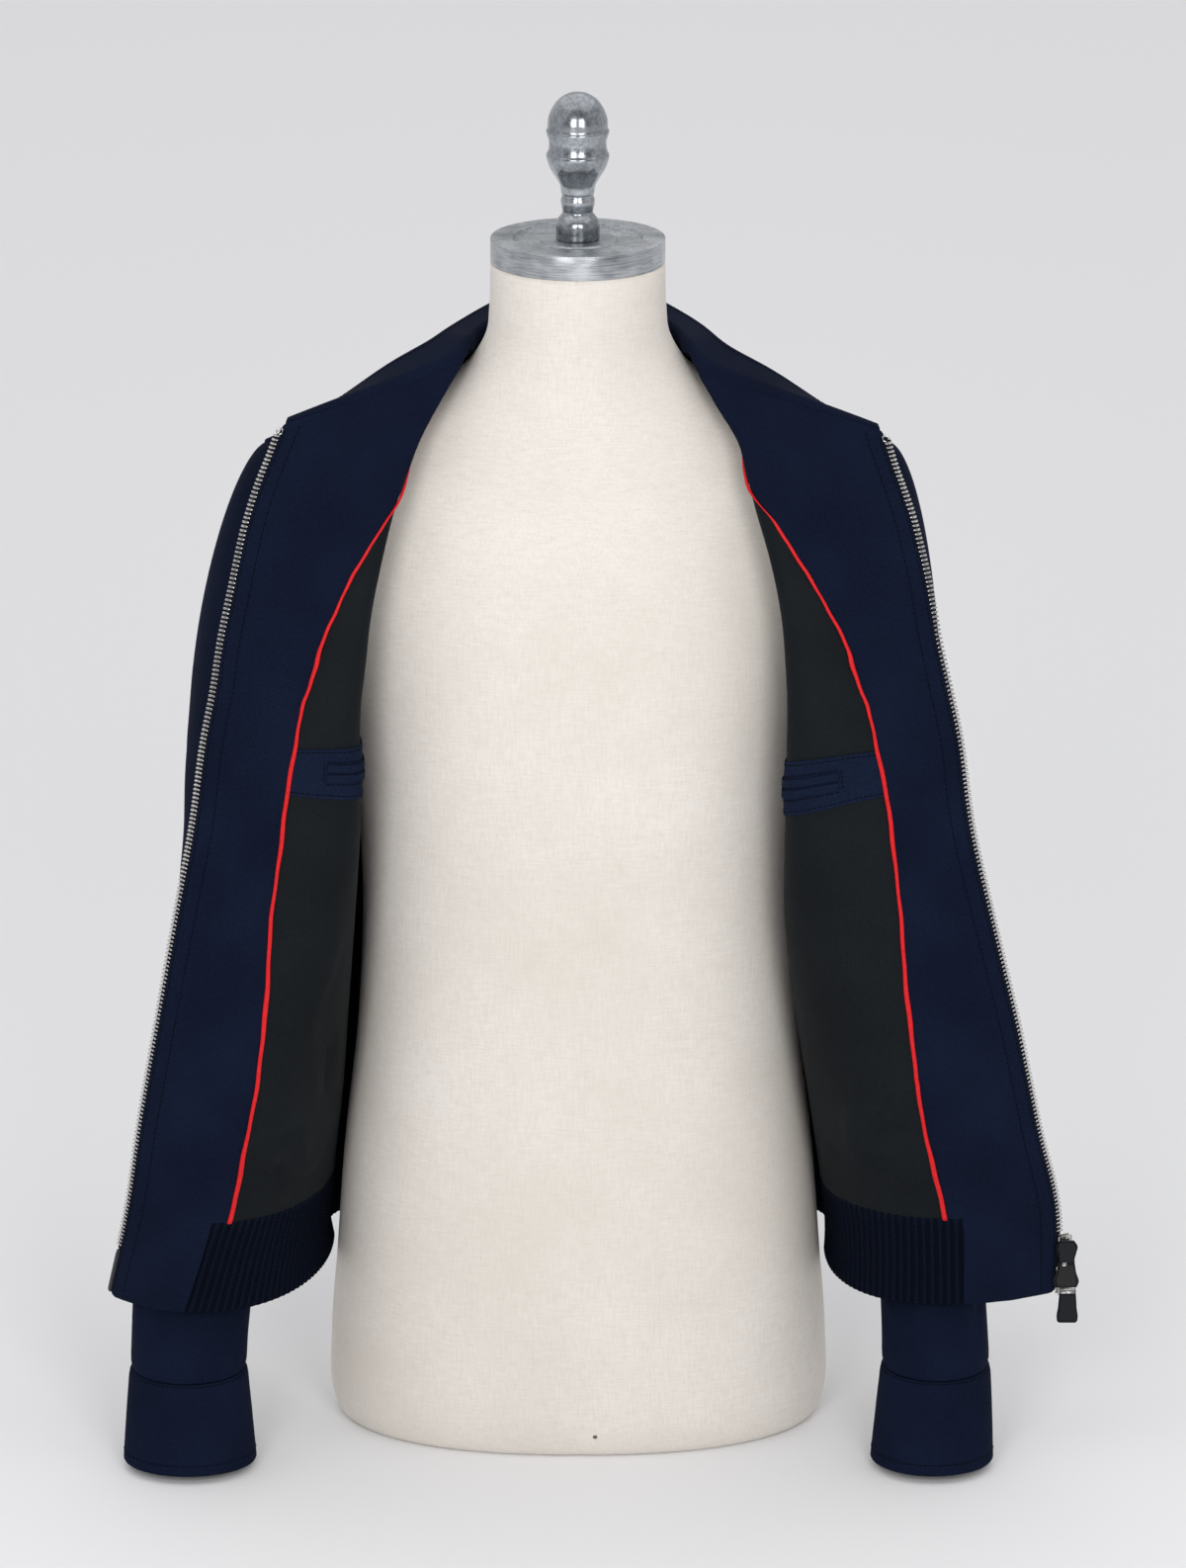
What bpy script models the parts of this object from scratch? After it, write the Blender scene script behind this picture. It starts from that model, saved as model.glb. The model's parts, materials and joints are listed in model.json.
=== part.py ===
"""A navy wool zip blouson worn open on a limbless dress form.

Metres, +Z up. The form's flat base lies on z = 0 with its centre at the origin. The open front
faces -Y, so the wearer's right side is at -X. Cloth surfaces are grids of points: each panel
takes its own stretch of a grid, and what lies on a panel is made from the panel's points, moved
out along the surface normal.
"""
import math

import bmesh
import bpy
import numpy as np

# Cloth layers. The front grid is the face between the outer wool and the inner layers.
GAP = 0.0003
WOOL = 0.0017
FACING = 0.0015
LINING = 0.0010
COLLAR = 0.0030
RIB_KNIT = 0.0024
LAYER = 0.00025

# Levels and lengths of the garment.
HEM_Z = 0.117
RIB_SEAM_Z = 0.185
ARMPIT_Z = 0.572
NECK_SIDE = (0.0735, 0.0, 0.783)
NECK_BACK_DEPTH = 0.066
NECK_BACK_RISE = 0.012
COLLAR_HEIGHT = 0.045
COLLAR_RISE = 0.0045
# Share of the front neckline passed at each column of the fronts.
COLLAR_SHARES = (0, 0.03, 0.05, 0.08, 0.10, 0.13, 0.15, 0.18, 0.20, 0.28, 0.36, 0.46, 0.58, 0.72, 0.86, 1.0)
RIB_PITCH = 0.0068
RIB_RELIEF = 0.0011
TAB_STEP = 0.0115
PIPING_WIDTH = 0.0036
PIPING_HEIGHT = 0.0024
PIPING_GAP = 0.0012
LINING_INSET = 0.0005

# The collar, along the neckline from the centre back (0) by the neck side (1) to the zip (2): the
# direction in which it first stands up from the seam, and the one in which it then lies back.
# gap is how far above the seam line it starts.
# Columns: share, rise_x, rise_y, rise_z, lean_x, lean_y, lean_z, gap.
COLLAR_STAND = (
    (0.00, 0.00, 0.05, 1.00, 0.00, 0.90, 0.32, 0.0012),
    (0.25, 0.03, 0.05, 1.00, 0.16, 0.93, 0.20, 0.0016),
    (0.50, 0.05, 0.05, 1.00, 0.30, 0.94, -0.08, 0.0022),
    (0.75, 0.00, 0.10, 1.00, 0.42, 0.90, -0.12, 0.0026),
    (1.00, -0.05, 0.10, 1.00, 0.48, 0.87, 0.02, 0.0028),
    (1.13, -0.15, 0.35, 0.92, 0.45, 0.89, 0.02, 0.0028),
    (1.33, -0.25, 0.60, 0.75, 0.35, 0.93, -0.02, 0.0024),
    (1.50, -0.25, 0.55, 0.80, 0.28, 0.95, -0.10, 0.0016),
    (1.66, -0.25, 0.50, 0.83, 0.20, 0.95, -0.26, 0.0010),
    (2.00, -0.25, 0.50, 0.83, 0.10, 0.88, -0.56, 0.0008),
)

# Armhole ring, in the plane of the body's side: angle 0 is the shoulder tip, 90 the front,
# 180 the armpit and 270 the back.
ARMHOLE_X = 0.204
ARMHOLE_X_SWING = 0.014
ARMHOLE_FRONT_HOLLOW = 0.017
ARMHOLE_BACK_HOLLOW = 0.004
ARMHOLE_Y = 0.010
ARMHOLE_FRONT_DEPTH = 0.060
ARMHOLE_BACK_DEPTH = 0.058
ARMHOLE_Z = 0.645
ARMHOLE_HALF_HEIGHT = 0.073

# Side seam and back of the body, by height: side seam x and y, then the depth of the centre back.
# Columns: z, side_x, side_y, back_y.
BODY = (
    (0.117, 0.1860, 0.040, 0.128),
    (0.185, 0.1870, 0.040, 0.130),
    (0.225, 0.1885, 0.040, 0.137),
    (0.330, 0.1900, 0.036, 0.136),
    (0.410, 0.1900, 0.032, 0.133),
    (0.500, 0.1900, 0.028, 0.132),
    (0.572, 0.1900, 0.020, 0.134),
)
BODY_ROUNDNESS = 2.4
# Levels of the side seam where a row of the fronts and the back starts, down to the hem.
SIDE_SEAM_LEVELS = (ARMPIT_Z, 0.500, 0.415, 0.335, 0.255, RIB_SEAM_Z, HEM_Z)
# Column lines of half the back, from its centre to the side, and the neckline's share of them.
BACK_TURNS = np.linspace(0, 1, 13)
BACK_NECK_SHARE = 1 / 3

# The opened fronts, one row a station. Stations 0-4 start on the shoulder seam, 4-8 on the
# armhole and 8-14 on the side seam; 13 is the rib seam and 14 the hem. A row runs from there to
# the roll, where the front folds outwards, and on to the zip. out is the distance from the
# centre plane. bend is the roll's softness, turn the zip edge's angle in plan in degrees, and
# facing the width from the zip to the piping.
# Columns: roll_out, roll_y, roll_z, zip_out, zip_y, zip_z, bend, turn, facing.
FRONT_RIGHT = (
    (0.0778, -0.017, 0.7865, 0.2008, -0.055, 0.7465, 0.095, -4, 0.1340),
    (0.0943, -0.050, 0.7655, 0.2083, -0.066, 0.7280, 0.095, 5, 0.1370),
    (0.1088, -0.071, 0.7420, 0.2158, -0.076, 0.7110, 0.095, 12, 0.1280),
    (0.1173, -0.089, 0.7230, 0.2223, -0.084, 0.6930, 0.100, 16, 0.1170),
    (0.1262, -0.103, 0.6990, 0.2278, -0.092, 0.6740, 0.090, 18, 0.1020),
    (0.1348, -0.116, 0.6660, 0.2348, -0.101, 0.6420, 0.075, 20, 0.0875),
    (0.1423, -0.121, 0.6290, 0.2423, -0.110, 0.6070, 0.075, 20, 0.0760),
    (0.1468, -0.121, 0.5910, 0.2478, -0.117, 0.5720, 0.075, 20, 0.0680),
    (0.1508, -0.120, 0.5530, 0.2553, -0.121, 0.5340, 0.090, 22, 0.0650),
    (0.1518, -0.110, 0.4750, 0.2638, -0.122, 0.4750, 0.120, 22, 0.0620),
    (0.1570, -0.085, 0.4000, 0.2773, -0.121, 0.4050, 0.180, 28, 0.0670),
    (0.1630, -0.055, 0.3250, 0.2913, -0.120, 0.3300, 0.250, 33, 0.0760),
    (0.1690, -0.030, 0.2500, 0.3050, -0.115, 0.2550, 0.280, 36, 0.0780),
    (0.1760, -0.005, 0.1850, 0.3158, -0.108, 0.1880, 0.300, 42, 0.0760),
    (0.1780, 0.008, 0.1170, 0.3313, -0.092, 0.1168, 0.400, 50, 0.0780),
)
FRONT_LEFT = (
    (0.0800, -0.018, 0.7820, 0.2078, -0.055, 0.7420, 0.095, -4, 0.1360),
    (0.0955, -0.050, 0.7620, 0.2143, -0.066, 0.7220, 0.095, 5, 0.1390),
    (0.1110, -0.071, 0.7400, 0.2203, -0.076, 0.7070, 0.095, 12, 0.1300),
    (0.1168, -0.089, 0.7210, 0.2263, -0.084, 0.6910, 0.105, 16, 0.1170),
    (0.1228, -0.103, 0.6990, 0.2313, -0.092, 0.6740, 0.095, 18, 0.1010),
    (0.1328, -0.116, 0.6660, 0.2383, -0.102, 0.6450, 0.075, 20, 0.0860),
    (0.1403, -0.121, 0.6290, 0.2453, -0.111, 0.6070, 0.075, 20, 0.0700),
    (0.1438, -0.121, 0.5910, 0.2528, -0.118, 0.5740, 0.075, 20, 0.0630),
    (0.1453, -0.120, 0.5530, 0.2613, -0.120, 0.5340, 0.090, 22, 0.0595),
    (0.1448, -0.110, 0.4750, 0.2700, -0.120, 0.4740, 0.120, 22, 0.0555),
    (0.1455, -0.090, 0.4000, 0.2873, -0.120, 0.4000, 0.180, 28, 0.0660),
    (0.1540, -0.065, 0.3250, 0.3048, -0.119, 0.3280, 0.240, 33, 0.0770),
    (0.1650, -0.045, 0.2500, 0.3208, -0.115, 0.2520, 0.250, 35, 0.0810),
    (0.1740, -0.025, 0.1850, 0.3353, -0.107, 0.1900, 0.270, 30, 0.0800),
    (0.1790, -0.005, 0.1170, 0.3383, -0.100, 0.1240, 0.340, 27, 0.0810),
)
TIP_STATION, ARMPIT_STATION, RIB_STATION, HEM_STATION = 4, 8, 13, 14

FRONT_STATIONS = (0, 0.5, 1, 1.5, 2, 2.5, 3, 3.5, 4, 4.5, 5, 5.5, 6, 6.5, 7, 7.5, 8, 8.5, 9, 10, 11, 12)
# How much a row leaves the armhole across the chest, by station.
CHEST_SHARES = ((3, 4.25, 6.5, 8.5), (0, 0.6, 0.6, 0))
# Half the gap at the rib seam, as a share of a station.
SEAM_STEP = GAP / 2 / (RIB_SEAM_Z - HEM_Z)

# Columns of a front: lining zone, the step between piping and rib tab, then the facing. Every
# layer has the same column lines, with one at each edge of the piping.
PIPING_COLUMN, TAB_COLUMN, ZIP_COLUMN = 8, 9, 15
FRONT_COLUMN_LINES = (0, 1, 2, 3, 4, 5, 6, 7, 8, 8, 8, 9, 10, 11, 12, 13, 14, 15)
FRONT_COLUMN_SHIFTS = (0, 0, 0, 0, 0, 0, 0, 0, -PIPING_WIDTH / 2, 0, PIPING_WIDTH / 2, 0, 0, 0, 0, 0, 0, 0)
FOLD_LINE_SAMPLES = 81

# Sleeves below the upper arm, by height: the section's centre and half sizes.
# Columns: z, out, y, half_width, half_depth.
SLEEVE_RIGHT = (
    (0.0060, 0.2758, -0.122, 0.0468, 0.0370),
    (0.0400, 0.2763, -0.114, 0.0440, 0.0375),
    (0.0695, 0.2767, -0.104, 0.0415, 0.0380),
    (0.1200, 0.2740, -0.080, 0.0425, 0.0400),
    (0.1800, 0.2665, -0.067, 0.0440, 0.0440),
    (0.2600, 0.2560, -0.055, 0.0435, 0.0490),
    (0.3400, 0.2450, -0.038, 0.0420, 0.0560),
    (0.4200, 0.2400, -0.018, 0.0400, 0.0620),
    (0.5000, 0.2358, -0.006, 0.0385, 0.0660),
)
SLEEVE_LEFT = (
    (0.0060, 0.2512, -0.121, 0.0432, 0.0370),
    (0.0400, 0.2528, -0.110, 0.0408, 0.0375),
    (0.0695, 0.2540, -0.098, 0.0385, 0.0380),
    (0.1200, 0.2525, -0.070, 0.0375, 0.0400),
    (0.1800, 0.2500, -0.058, 0.0385, 0.0440),
    (0.2600, 0.2440, -0.047, 0.0375, 0.0500),
    (0.3400, 0.2360, -0.034, 0.0350, 0.0580),
    (0.4200, 0.2300, -0.018, 0.0320, 0.0650),
    (0.5000, 0.2268, -0.006, 0.0297, 0.0690),
)
CUFF_SEAM_Z = 0.0695
CUFF_HEM_Z = 0.0060
UPPER_ARM_Z = 0.500
SLEEVE_SEAM_GAP = 0.0028
SLEEVE_SIDES = 20

# The dress form, by height, and its cap and finial.
# Columns: z, half_width, half_depth, roundness.
FORM = (
    (0.0000, 0.1735, 0.1070, 2.3),
    (0.0120, 0.1775, 0.1120, 2.3),
    (0.0600, 0.1785, 0.1160, 2.3),
    (0.1200, 0.1740, 0.1160, 2.3),
    (0.2000, 0.1680, 0.1110, 2.3),
    (0.3000, 0.1570, 0.1040, 2.3),
    (0.4000, 0.1530, 0.1050, 2.3),
    (0.5000, 0.1600, 0.1130, 2.3),
    (0.5800, 0.1720, 0.1150, 2.3),
    (0.6400, 0.1850, 0.1060, 2.3),
    (0.6800, 0.1890, 0.0930, 2.2),
    (0.7050, 0.1830, 0.0800, 2.2),
    (0.7200, 0.1690, 0.0710, 2.1),
    (0.7330, 0.1490, 0.0650, 2.1),
    (0.7480, 0.1220, 0.0600, 2.1),
    (0.7625, 0.0950, 0.0575, 2.0),
    (0.7750, 0.0780, 0.0580, 2.0),
    (0.7850, 0.0700, 0.0590, 2.0),
    (0.7980, 0.0635, 0.0600, 2.0),
    (0.8150, 0.0615, 0.0610, 2.0),
    (0.8480, 0.0605, 0.0605, 2.0),
)
FORM_SIDES = 32
CAP_TOP_Z = 0.865
CAP_RADIUS = 0.0605
# Radius and height above the cap, from the top down.
FINIAL_PROFILE = (
    (0.0000, 0.1027), (0.0065, 0.1018), (0.0116, 0.0990), (0.0155, 0.0952), (0.0188, 0.0895),
    (0.0206, 0.0838), (0.0209, 0.0780), (0.0218, 0.0758), (0.0209, 0.0724), (0.0199, 0.0686),
    (0.0201, 0.0639), (0.0209, 0.0610), (0.0218, 0.0590), (0.0212, 0.0554), (0.0192, 0.0497),
    (0.0157, 0.0440), (0.0129, 0.0392), (0.0120, 0.0364), (0.0114, 0.0326), (0.0109, 0.0307),
    (0.0118, 0.0269), (0.0109, 0.0212), (0.0107, 0.0184), (0.0135, 0.0146), (0.0148, 0.0118),
    (0.0151, 0.0080), (0.0151, 0.0003), (0.0000, 0.0003),
)

# Inner welt pockets, along a line from the piping towards the side seam. station is the
# pocket's middle at the piping and at its far end.
POCKET_COLUMNS = (7.75, 7, 6, 5, 4, 3, 2.2)
WELT_COLUMNS = (7, 6, 5, 4, 3)
POCKET_GAP = 0.0008
POCKET_STATIONS_RIGHT = (8.34, 8.66)
POCKET_STATIONS_LEFT = (8.35, 8.95)
POCKET_HALF_HEIGHT = 0.0172
WELT_HEIGHT = 0.0050
WELT_SLIT = 0.0012
WELT_THICKNESS = 0.0012
PATCH_THICKNESS = 0.0012
ROW_SPACING = 0.072

# Zip, its end pieces and the two sliders with their pulls.
ZIP_WIDTH = 0.0055
ZIP_THICKNESS = 0.0026
ZIP_TOP_STATION = 0.45
ZIP_PIN_STATIONS = (13.42, 13.97)
ZIP_LEFT_END_STATION = 13.30
SLIDER_SIZE = (0.0110, 0.0052, 0.0125)
SLIDER_SLOT = 0.0053
SLIDER_STUD_HEIGHT = 0.0036
SLIDER_STUD = 0.0034
PULL_THICKNESS = 0.0024
# Half width and drop below the hinge of the two leather pulls.
PULL_UPPER_OUTLINE = ((0.0050, -0.0008), (0.0076, 0.0035), (0.0070, 0.0075), (0.0057, 0.0130),
                      (0.0058, 0.0165), (0.0072, 0.0240), (0.0090, 0.0300), (0.0072, 0.0345))
PULL_LOWER_OUTLINE = ((0.0055, -0.0008), (0.0060, 0.0030), (0.0066, 0.0130), (0.0071, 0.0225))
# Columns: name, z, stud_level, outline.
SLIDERS = (
    ("upper", 0.1605, 0.0042, PULL_UPPER_OUTLINE),
    ("lower", 0.1275, -0.0006, PULL_LOWER_OUTLINE),
)

NAVY, BLACK_GREEN, RED = (0.010, 0.014, 0.045), (0.012, 0.015, 0.016), (0.85, 0.02, 0.02)
LINEN, ZINC = (0.80, 0.77, 0.71), (0.35, 0.37, 0.39)
STEEL, LEATHER = (0.75, 0.75, 0.76), (0.012, 0.013, 0.018)

SIDES = {"right": (-1, FRONT_RIGHT, SLEEVE_RIGHT, POCKET_STATIONS_RIGHT),
         "left": (1, FRONT_LEFT, SLEEVE_LEFT, POCKET_STATIONS_LEFT)}


# ---------------------------------------------------------------------------------------------
# Curves
# ---------------------------------------------------------------------------------------------
def at_station(table, station):
    """Catmull-Rom value of every column at a station; row 0 is station 0."""
    rows = np.asarray(table, float)
    k = int(np.clip(math.floor(station), 0, len(rows) - 2))
    f = station - k
    before, a, b, after = rows[max(k - 1, 0)], rows[k], rows[k + 1], rows[min(k + 2, len(rows) - 1)]
    return a + 0.5 * f * (b - before + f * (2 * before - 5 * a + 4 * b - after
                                            + f * (3 * (a - b) + after - before)))


def at_height(table, z):
    """Cubic value of the columns after the first, at a height within the first column."""
    rows = np.asarray(table, float)
    heights, values = rows[:, 0], rows[:, 1:]
    slopes = np.gradient(values, heights, axis=0)
    k = int(np.clip(np.searchsorted(heights, z) - 1, 0, len(rows) - 2))
    step = heights[k + 1] - heights[k]
    f = (z - heights[k]) / step
    return hermite(values[k], values[k + 1], slopes[k] * step, slopes[k + 1] * step, f)


def hermite(start, end, leave, arrive, f):
    """Cubic from start to end with the given tangents."""
    return ((1 + 2 * f) * (1 - f) ** 2 * start + f * f * (3 - 2 * f) * end
            + f * (1 - f) ** 2 * leave - f * f * (1 - f) * arrive)


def armhole(angle):
    """Point of the armhole seam at an angle in radians, for the side at +X."""
    swing, sweep = math.cos(angle), math.sin(angle)
    hollow = ARMHOLE_FRONT_HOLLOW if sweep > 0 else ARMHOLE_BACK_HOLLOW
    depth = ARMHOLE_FRONT_DEPTH if sweep > 0 else ARMHOLE_BACK_DEPTH
    return np.array([ARMHOLE_X + ARMHOLE_X_SWING * swing - hollow * sweep ** 2,
                     ARMHOLE_Y * (1 - swing) - depth * sweep,
                     ARMHOLE_Z + ARMHOLE_HALF_HEIGHT * swing])


def shoulder(fraction):
    """Point of the shoulder seam, from the neck (0) to the tip (1)."""
    return np.array(NECK_SIDE) * (1 - fraction) + armhole(0.0) * fraction


def body_seam(station):
    """Point where a front row starts: shoulder seam, armhole or side seam."""
    if station <= TIP_STATION:
        return shoulder(station / TIP_STATION)
    if station <= ARMPIT_STATION:
        return armhole(math.pi * (station - TIP_STATION) / (ARMPIT_STATION - TIP_STATION))
    z = np.interp(station, range(ARMPIT_STATION, HEM_STATION + 1), SIDE_SEAM_LEVELS)
    side_x, side_y, _ = at_height(BODY, z)
    return np.array([side_x, side_y, z])


# ---------------------------------------------------------------------------------------------
# Surfaces: each returns points for the side at +X
# ---------------------------------------------------------------------------------------------
def front_row(table, station, along):
    """Points of one front row; along is 0 at the body seam, 1 at the roll and 2 at the zip."""
    roll_out, roll_y, roll_z, zip_out, zip_y, zip_z, bend, turn, _ = at_station(table, station)
    seam = body_seam(station) - np.array([0, LAYER, 0])
    roll, edge = np.array([roll_out, roll_y, roll_z]), np.array([zip_out, zip_y, zip_z])
    reach, spread = np.linalg.norm(roll - seam), np.linalg.norm(edge - roll)
    slope = (edge[2] - seam[2]) / 2
    pull = 0.6 * spread + 0.5 * bend
    angle = math.radians(turn)
    across = np.interp(station, CHEST_SHARES[0], CHEST_SHARES[1])
    leave_seam = np.array([-reach * across, -reach * (1 - across / 3), roll[2] - seam[2]])
    arrive_roll = np.array([0, -reach, slope])
    leave_roll = np.array([0, -bend, slope])
    arrive_zip = np.array([pull * math.cos(angle), pull * math.sin(angle), edge[2] - roll[2]])
    along = np.asarray(along)[:, None]
    inner = hermite(seam, roll, leave_seam, arrive_roll, np.clip(along, 0, 1))
    outer = hermite(roll, edge, leave_roll, arrive_zip, np.clip(along - 1, 0, 1))
    return np.where(along < 1, inner, outer)


def front_points(table, stations, columns, shift=0.0):
    """Grid of front points [station, column]; columns count from the body seam to the zip.

    shift moves the points along their row towards the zip, in metres."""
    fine = np.linspace(0, 2, FOLD_LINE_SAMPLES)
    columns = np.asarray(columns, float)
    grid = []
    for station in stations:
        line = front_row(table, station, fine)
        steps = np.linalg.norm(np.diff(line, axis=0), axis=1)
        from_zip = np.sum(steps) - np.concatenate([[0], np.cumsum(steps)])
        facing = at_station(table, station)[-1]
        piping = np.interp(-facing, -from_zip, fine)
        tab = np.interp(TAB_STEP - facing, -from_zip, fine)
        to_zip = tab + (2 - tab) * np.clip((columns - TAB_COLUMN) / (ZIP_COLUMN - TAB_COLUMN), 0, 1) ** 1.6
        to_tab = np.interp(columns, (0, PIPING_COLUMN, TAB_COLUMN), (0, piping, tab))
        along = np.where(columns > TAB_COLUMN, to_zip, to_tab)
        along = np.interp(shift - np.interp(along, fine, from_zip), -from_zip, fine)
        grid.append(front_row(table, station, along))
    return np.array(grid)


def front_surface(side, stations, columns, lift=0.0, shift=0.0):
    """A side's front grid, moved out along the normal of its inner face by lift."""
    sign, table = SIDES[side][:2]
    d = 0.01
    stations, columns = np.asarray(stations, float), np.asarray(columns, float)
    points = front_points(table, stations, columns, shift)
    down = (front_points(table, np.clip(stations + d, 0, HEM_STATION), columns, shift)
            - front_points(table, np.clip(stations - d, 0, HEM_STATION), columns, shift))
    ahead, behind = np.asarray(shift) + 0.0002, np.asarray(shift) - 0.0002
    out = (front_points(table, stations, columns, ahead)
           - front_points(table, stations, columns, behind))
    points = points + unit(np.cross(down, out)) * lift
    return points * np.array([sign, 1, 1])


def unit(vectors):
    """Vectors scaled to length 1."""
    return vectors / np.maximum(np.linalg.norm(vectors, axis=-1, keepdims=True), 1e-12)


def back_point(z, turn):
    """Point of the back below the armpits; turn is 0 at the centre back and 1 at the side."""
    side_x, side_y, back_y = at_height(BODY, z)
    angle = turn * math.pi / 2
    power = 2 / BODY_ROUNDNESS
    return np.array([side_x * math.sin(angle) ** power,
                     side_y + (back_y - side_y) * math.cos(angle) ** power, z])


def neckline_back(turn):
    """Point of the back neckline; turn is 0 at the centre back and 1 at the neck side."""
    angle = turn * math.pi / 2
    return np.array([NECK_SIDE[0] * math.sin(angle), NECK_BACK_DEPTH * math.cos(angle),
                     NECK_SIDE[2] + NECK_BACK_RISE * math.cos(angle) ** 2])


def back_points(rise_lower, rise_upper, turns):
    """Half of the back: rows at heights below the armpit, then at shares of the way up from it."""
    grid = [[back_point(z, turn) for turn in turns] for z in rise_lower]
    for f in rise_upper:
        row = []
        for turn in turns:
            start = back_point(ARMPIT_Z, turn)
            if turn <= BACK_NECK_SHARE:
                side = turn / BACK_NECK_SHARE
                end = neckline_back(side)
                arrive = np.array([0, -0.05 - 0.13 * side, 0.12 - 0.07 * side])
            else:
                end = shoulder((turn - BACK_NECK_SHARE) / (1 - BACK_NECK_SHARE))
                arrive = np.array([0, -0.18, 0.05])
            edge = max(0.0, (turn - 0.5) / 0.5) ** 3
            leave = np.array([0, 0.0, 0.28]) * (1 - edge) + np.array([0.004, 0.17, 0.03]) * edge
            arrive = arrive * (1 - edge) + np.array([0.02, -0.17, 0.05]) * edge
            row.append(hermite(start, end, leave, arrive, f))
        grid.append(row)
    return np.array(grid)


def sleeve_ring(table, z):
    """Level ring of a sleeve; its first point is the outer side, then the front."""
    out, y, half_width, half_depth = at_height(table, z)
    angles = np.arange(SLEEVE_SIDES) * 2 * math.pi / SLEEVE_SIDES
    return np.stack([out + half_width * np.cos(angles), y - half_depth * np.sin(angles),
                     np.full(SLEEVE_SIDES, z)], axis=1)


def sleeve_head(table, drops):
    """Rings from the armhole seam (drop 0) down to the level ring of the upper arm (drop 1)."""
    arm = sleeve_ring(table, UPPER_ARM_Z)
    rings = []
    for f in drops:
        ring = []
        for k in range(SLEEVE_SIDES):
            angle = 2 * math.pi * k / SLEEVE_SIDES
            under = (1 - math.cos(angle)) / 2
            start = armhole(angle) + np.array([SLEEVE_SEAM_GAP, 0, 0])
            leave = np.array([0.066 - 0.046 * under, 0, -0.014 - 0.060 * under])
            arrive = np.array([0, 0, -0.30 + 0.225 * under])
            ring.append(hermite(start, arm[k], leave, arrive, f))
        rings.append(ring)
    return np.array(rings)


# ---------------------------------------------------------------------------------------------
# Meshes
# ---------------------------------------------------------------------------------------------
def start_scene():
    """Empty the scene and add the blouson's collection."""
    for existing in list(bpy.data.objects):
        bpy.data.objects.remove(existing, do_unlink=True)
    collection = bpy.data.collections.new("wool_blouson_on_dress_form")
    bpy.context.scene.collection.children.link(collection)
    return collection


def material(name, colour, roughness, metallic=0.0):
    """A plain Principled material."""
    made = bpy.data.materials.new(name)
    made.use_nodes = True
    shader = made.node_tree.nodes["Principled BSDF"]
    shader.inputs["Base Color"].default_value = (*colour, 1)
    shader.inputs["Roughness"].default_value = roughness
    shader.inputs["Metallic"].default_value = metallic
    made.diffuse_color = (*colour, 1)
    return made


def add_object(name, mesh, surface):
    """Put a mesh in the blouson's collection under its own material."""
    made = bpy.data.objects.new(name, mesh)
    mesh.materials.append(surface)
    COLLECTION.objects.link(made)
    return made


def grid_mesh(name, grid, closed=False, caps=False, keep=None):
    """Mesh of a grid of points; closed joins the last column to the first, caps fills the ends."""
    rows, columns = grid.shape[:2]
    made = bmesh.new()
    verts = [[made.verts.new(tuple(point)) for point in row] for row in grid]
    for r in range(rows - 1):
        for c in range(columns if closed else columns - 1):
            if keep is None or keep(r, c):
                n = (c + 1) % columns
                made.faces.new((verts[r][c], verts[r][n], verts[r + 1][n]))
                made.faces.new((verts[r][c], verts[r + 1][n], verts[r + 1][c]))
    if caps:
        made.faces.new(verts[0][::-1])
        made.faces.new(verts[-1])
    bmesh.ops.delete(made, geom=[v for v in made.verts if not v.link_faces], context="VERTS")
    if caps:
        bmesh.ops.recalc_face_normals(made, faces=made.faces)
    mesh = bpy.data.meshes.new(name)
    made.to_mesh(mesh)
    made.free()
    return mesh


def wall(name, grid, thickness, surface, side=1, **options):
    """A cloth wall: the grid is one face, or its middle when side is 0."""
    made = add_object(name, grid_mesh(name, grid, **options), surface)
    solid = made.modifiers.new("wall", "SOLIDIFY")
    solid.thickness = thickness
    solid.offset = side
    return made


def turned(name, profile, sides, surface):
    """A turned solid from a profile of (radius, z) running from the top down."""
    mesh = bpy.data.meshes.new(name)
    mesh.from_pydata([(radius, 0, z) for radius, z in profile],
                     [(k, k + 1) for k in range(len(profile) - 1)], [])
    made = add_object(name, mesh, surface)
    screw = made.modifiers.new("turn", "SCREW")
    screw.steps = sides
    screw.render_steps = sides
    screw.use_merge_vertices = True
    screw.merge_threshold = 0.00005
    screw.use_normal_flip = False
    return made


def mirrored(grid):
    """A half grid from the centre plane outwards, doubled to the side at -X."""
    other = grid[:, :0:-1] * np.array([-1, 1, 1])
    return np.concatenate([other, grid], axis=1)


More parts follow.
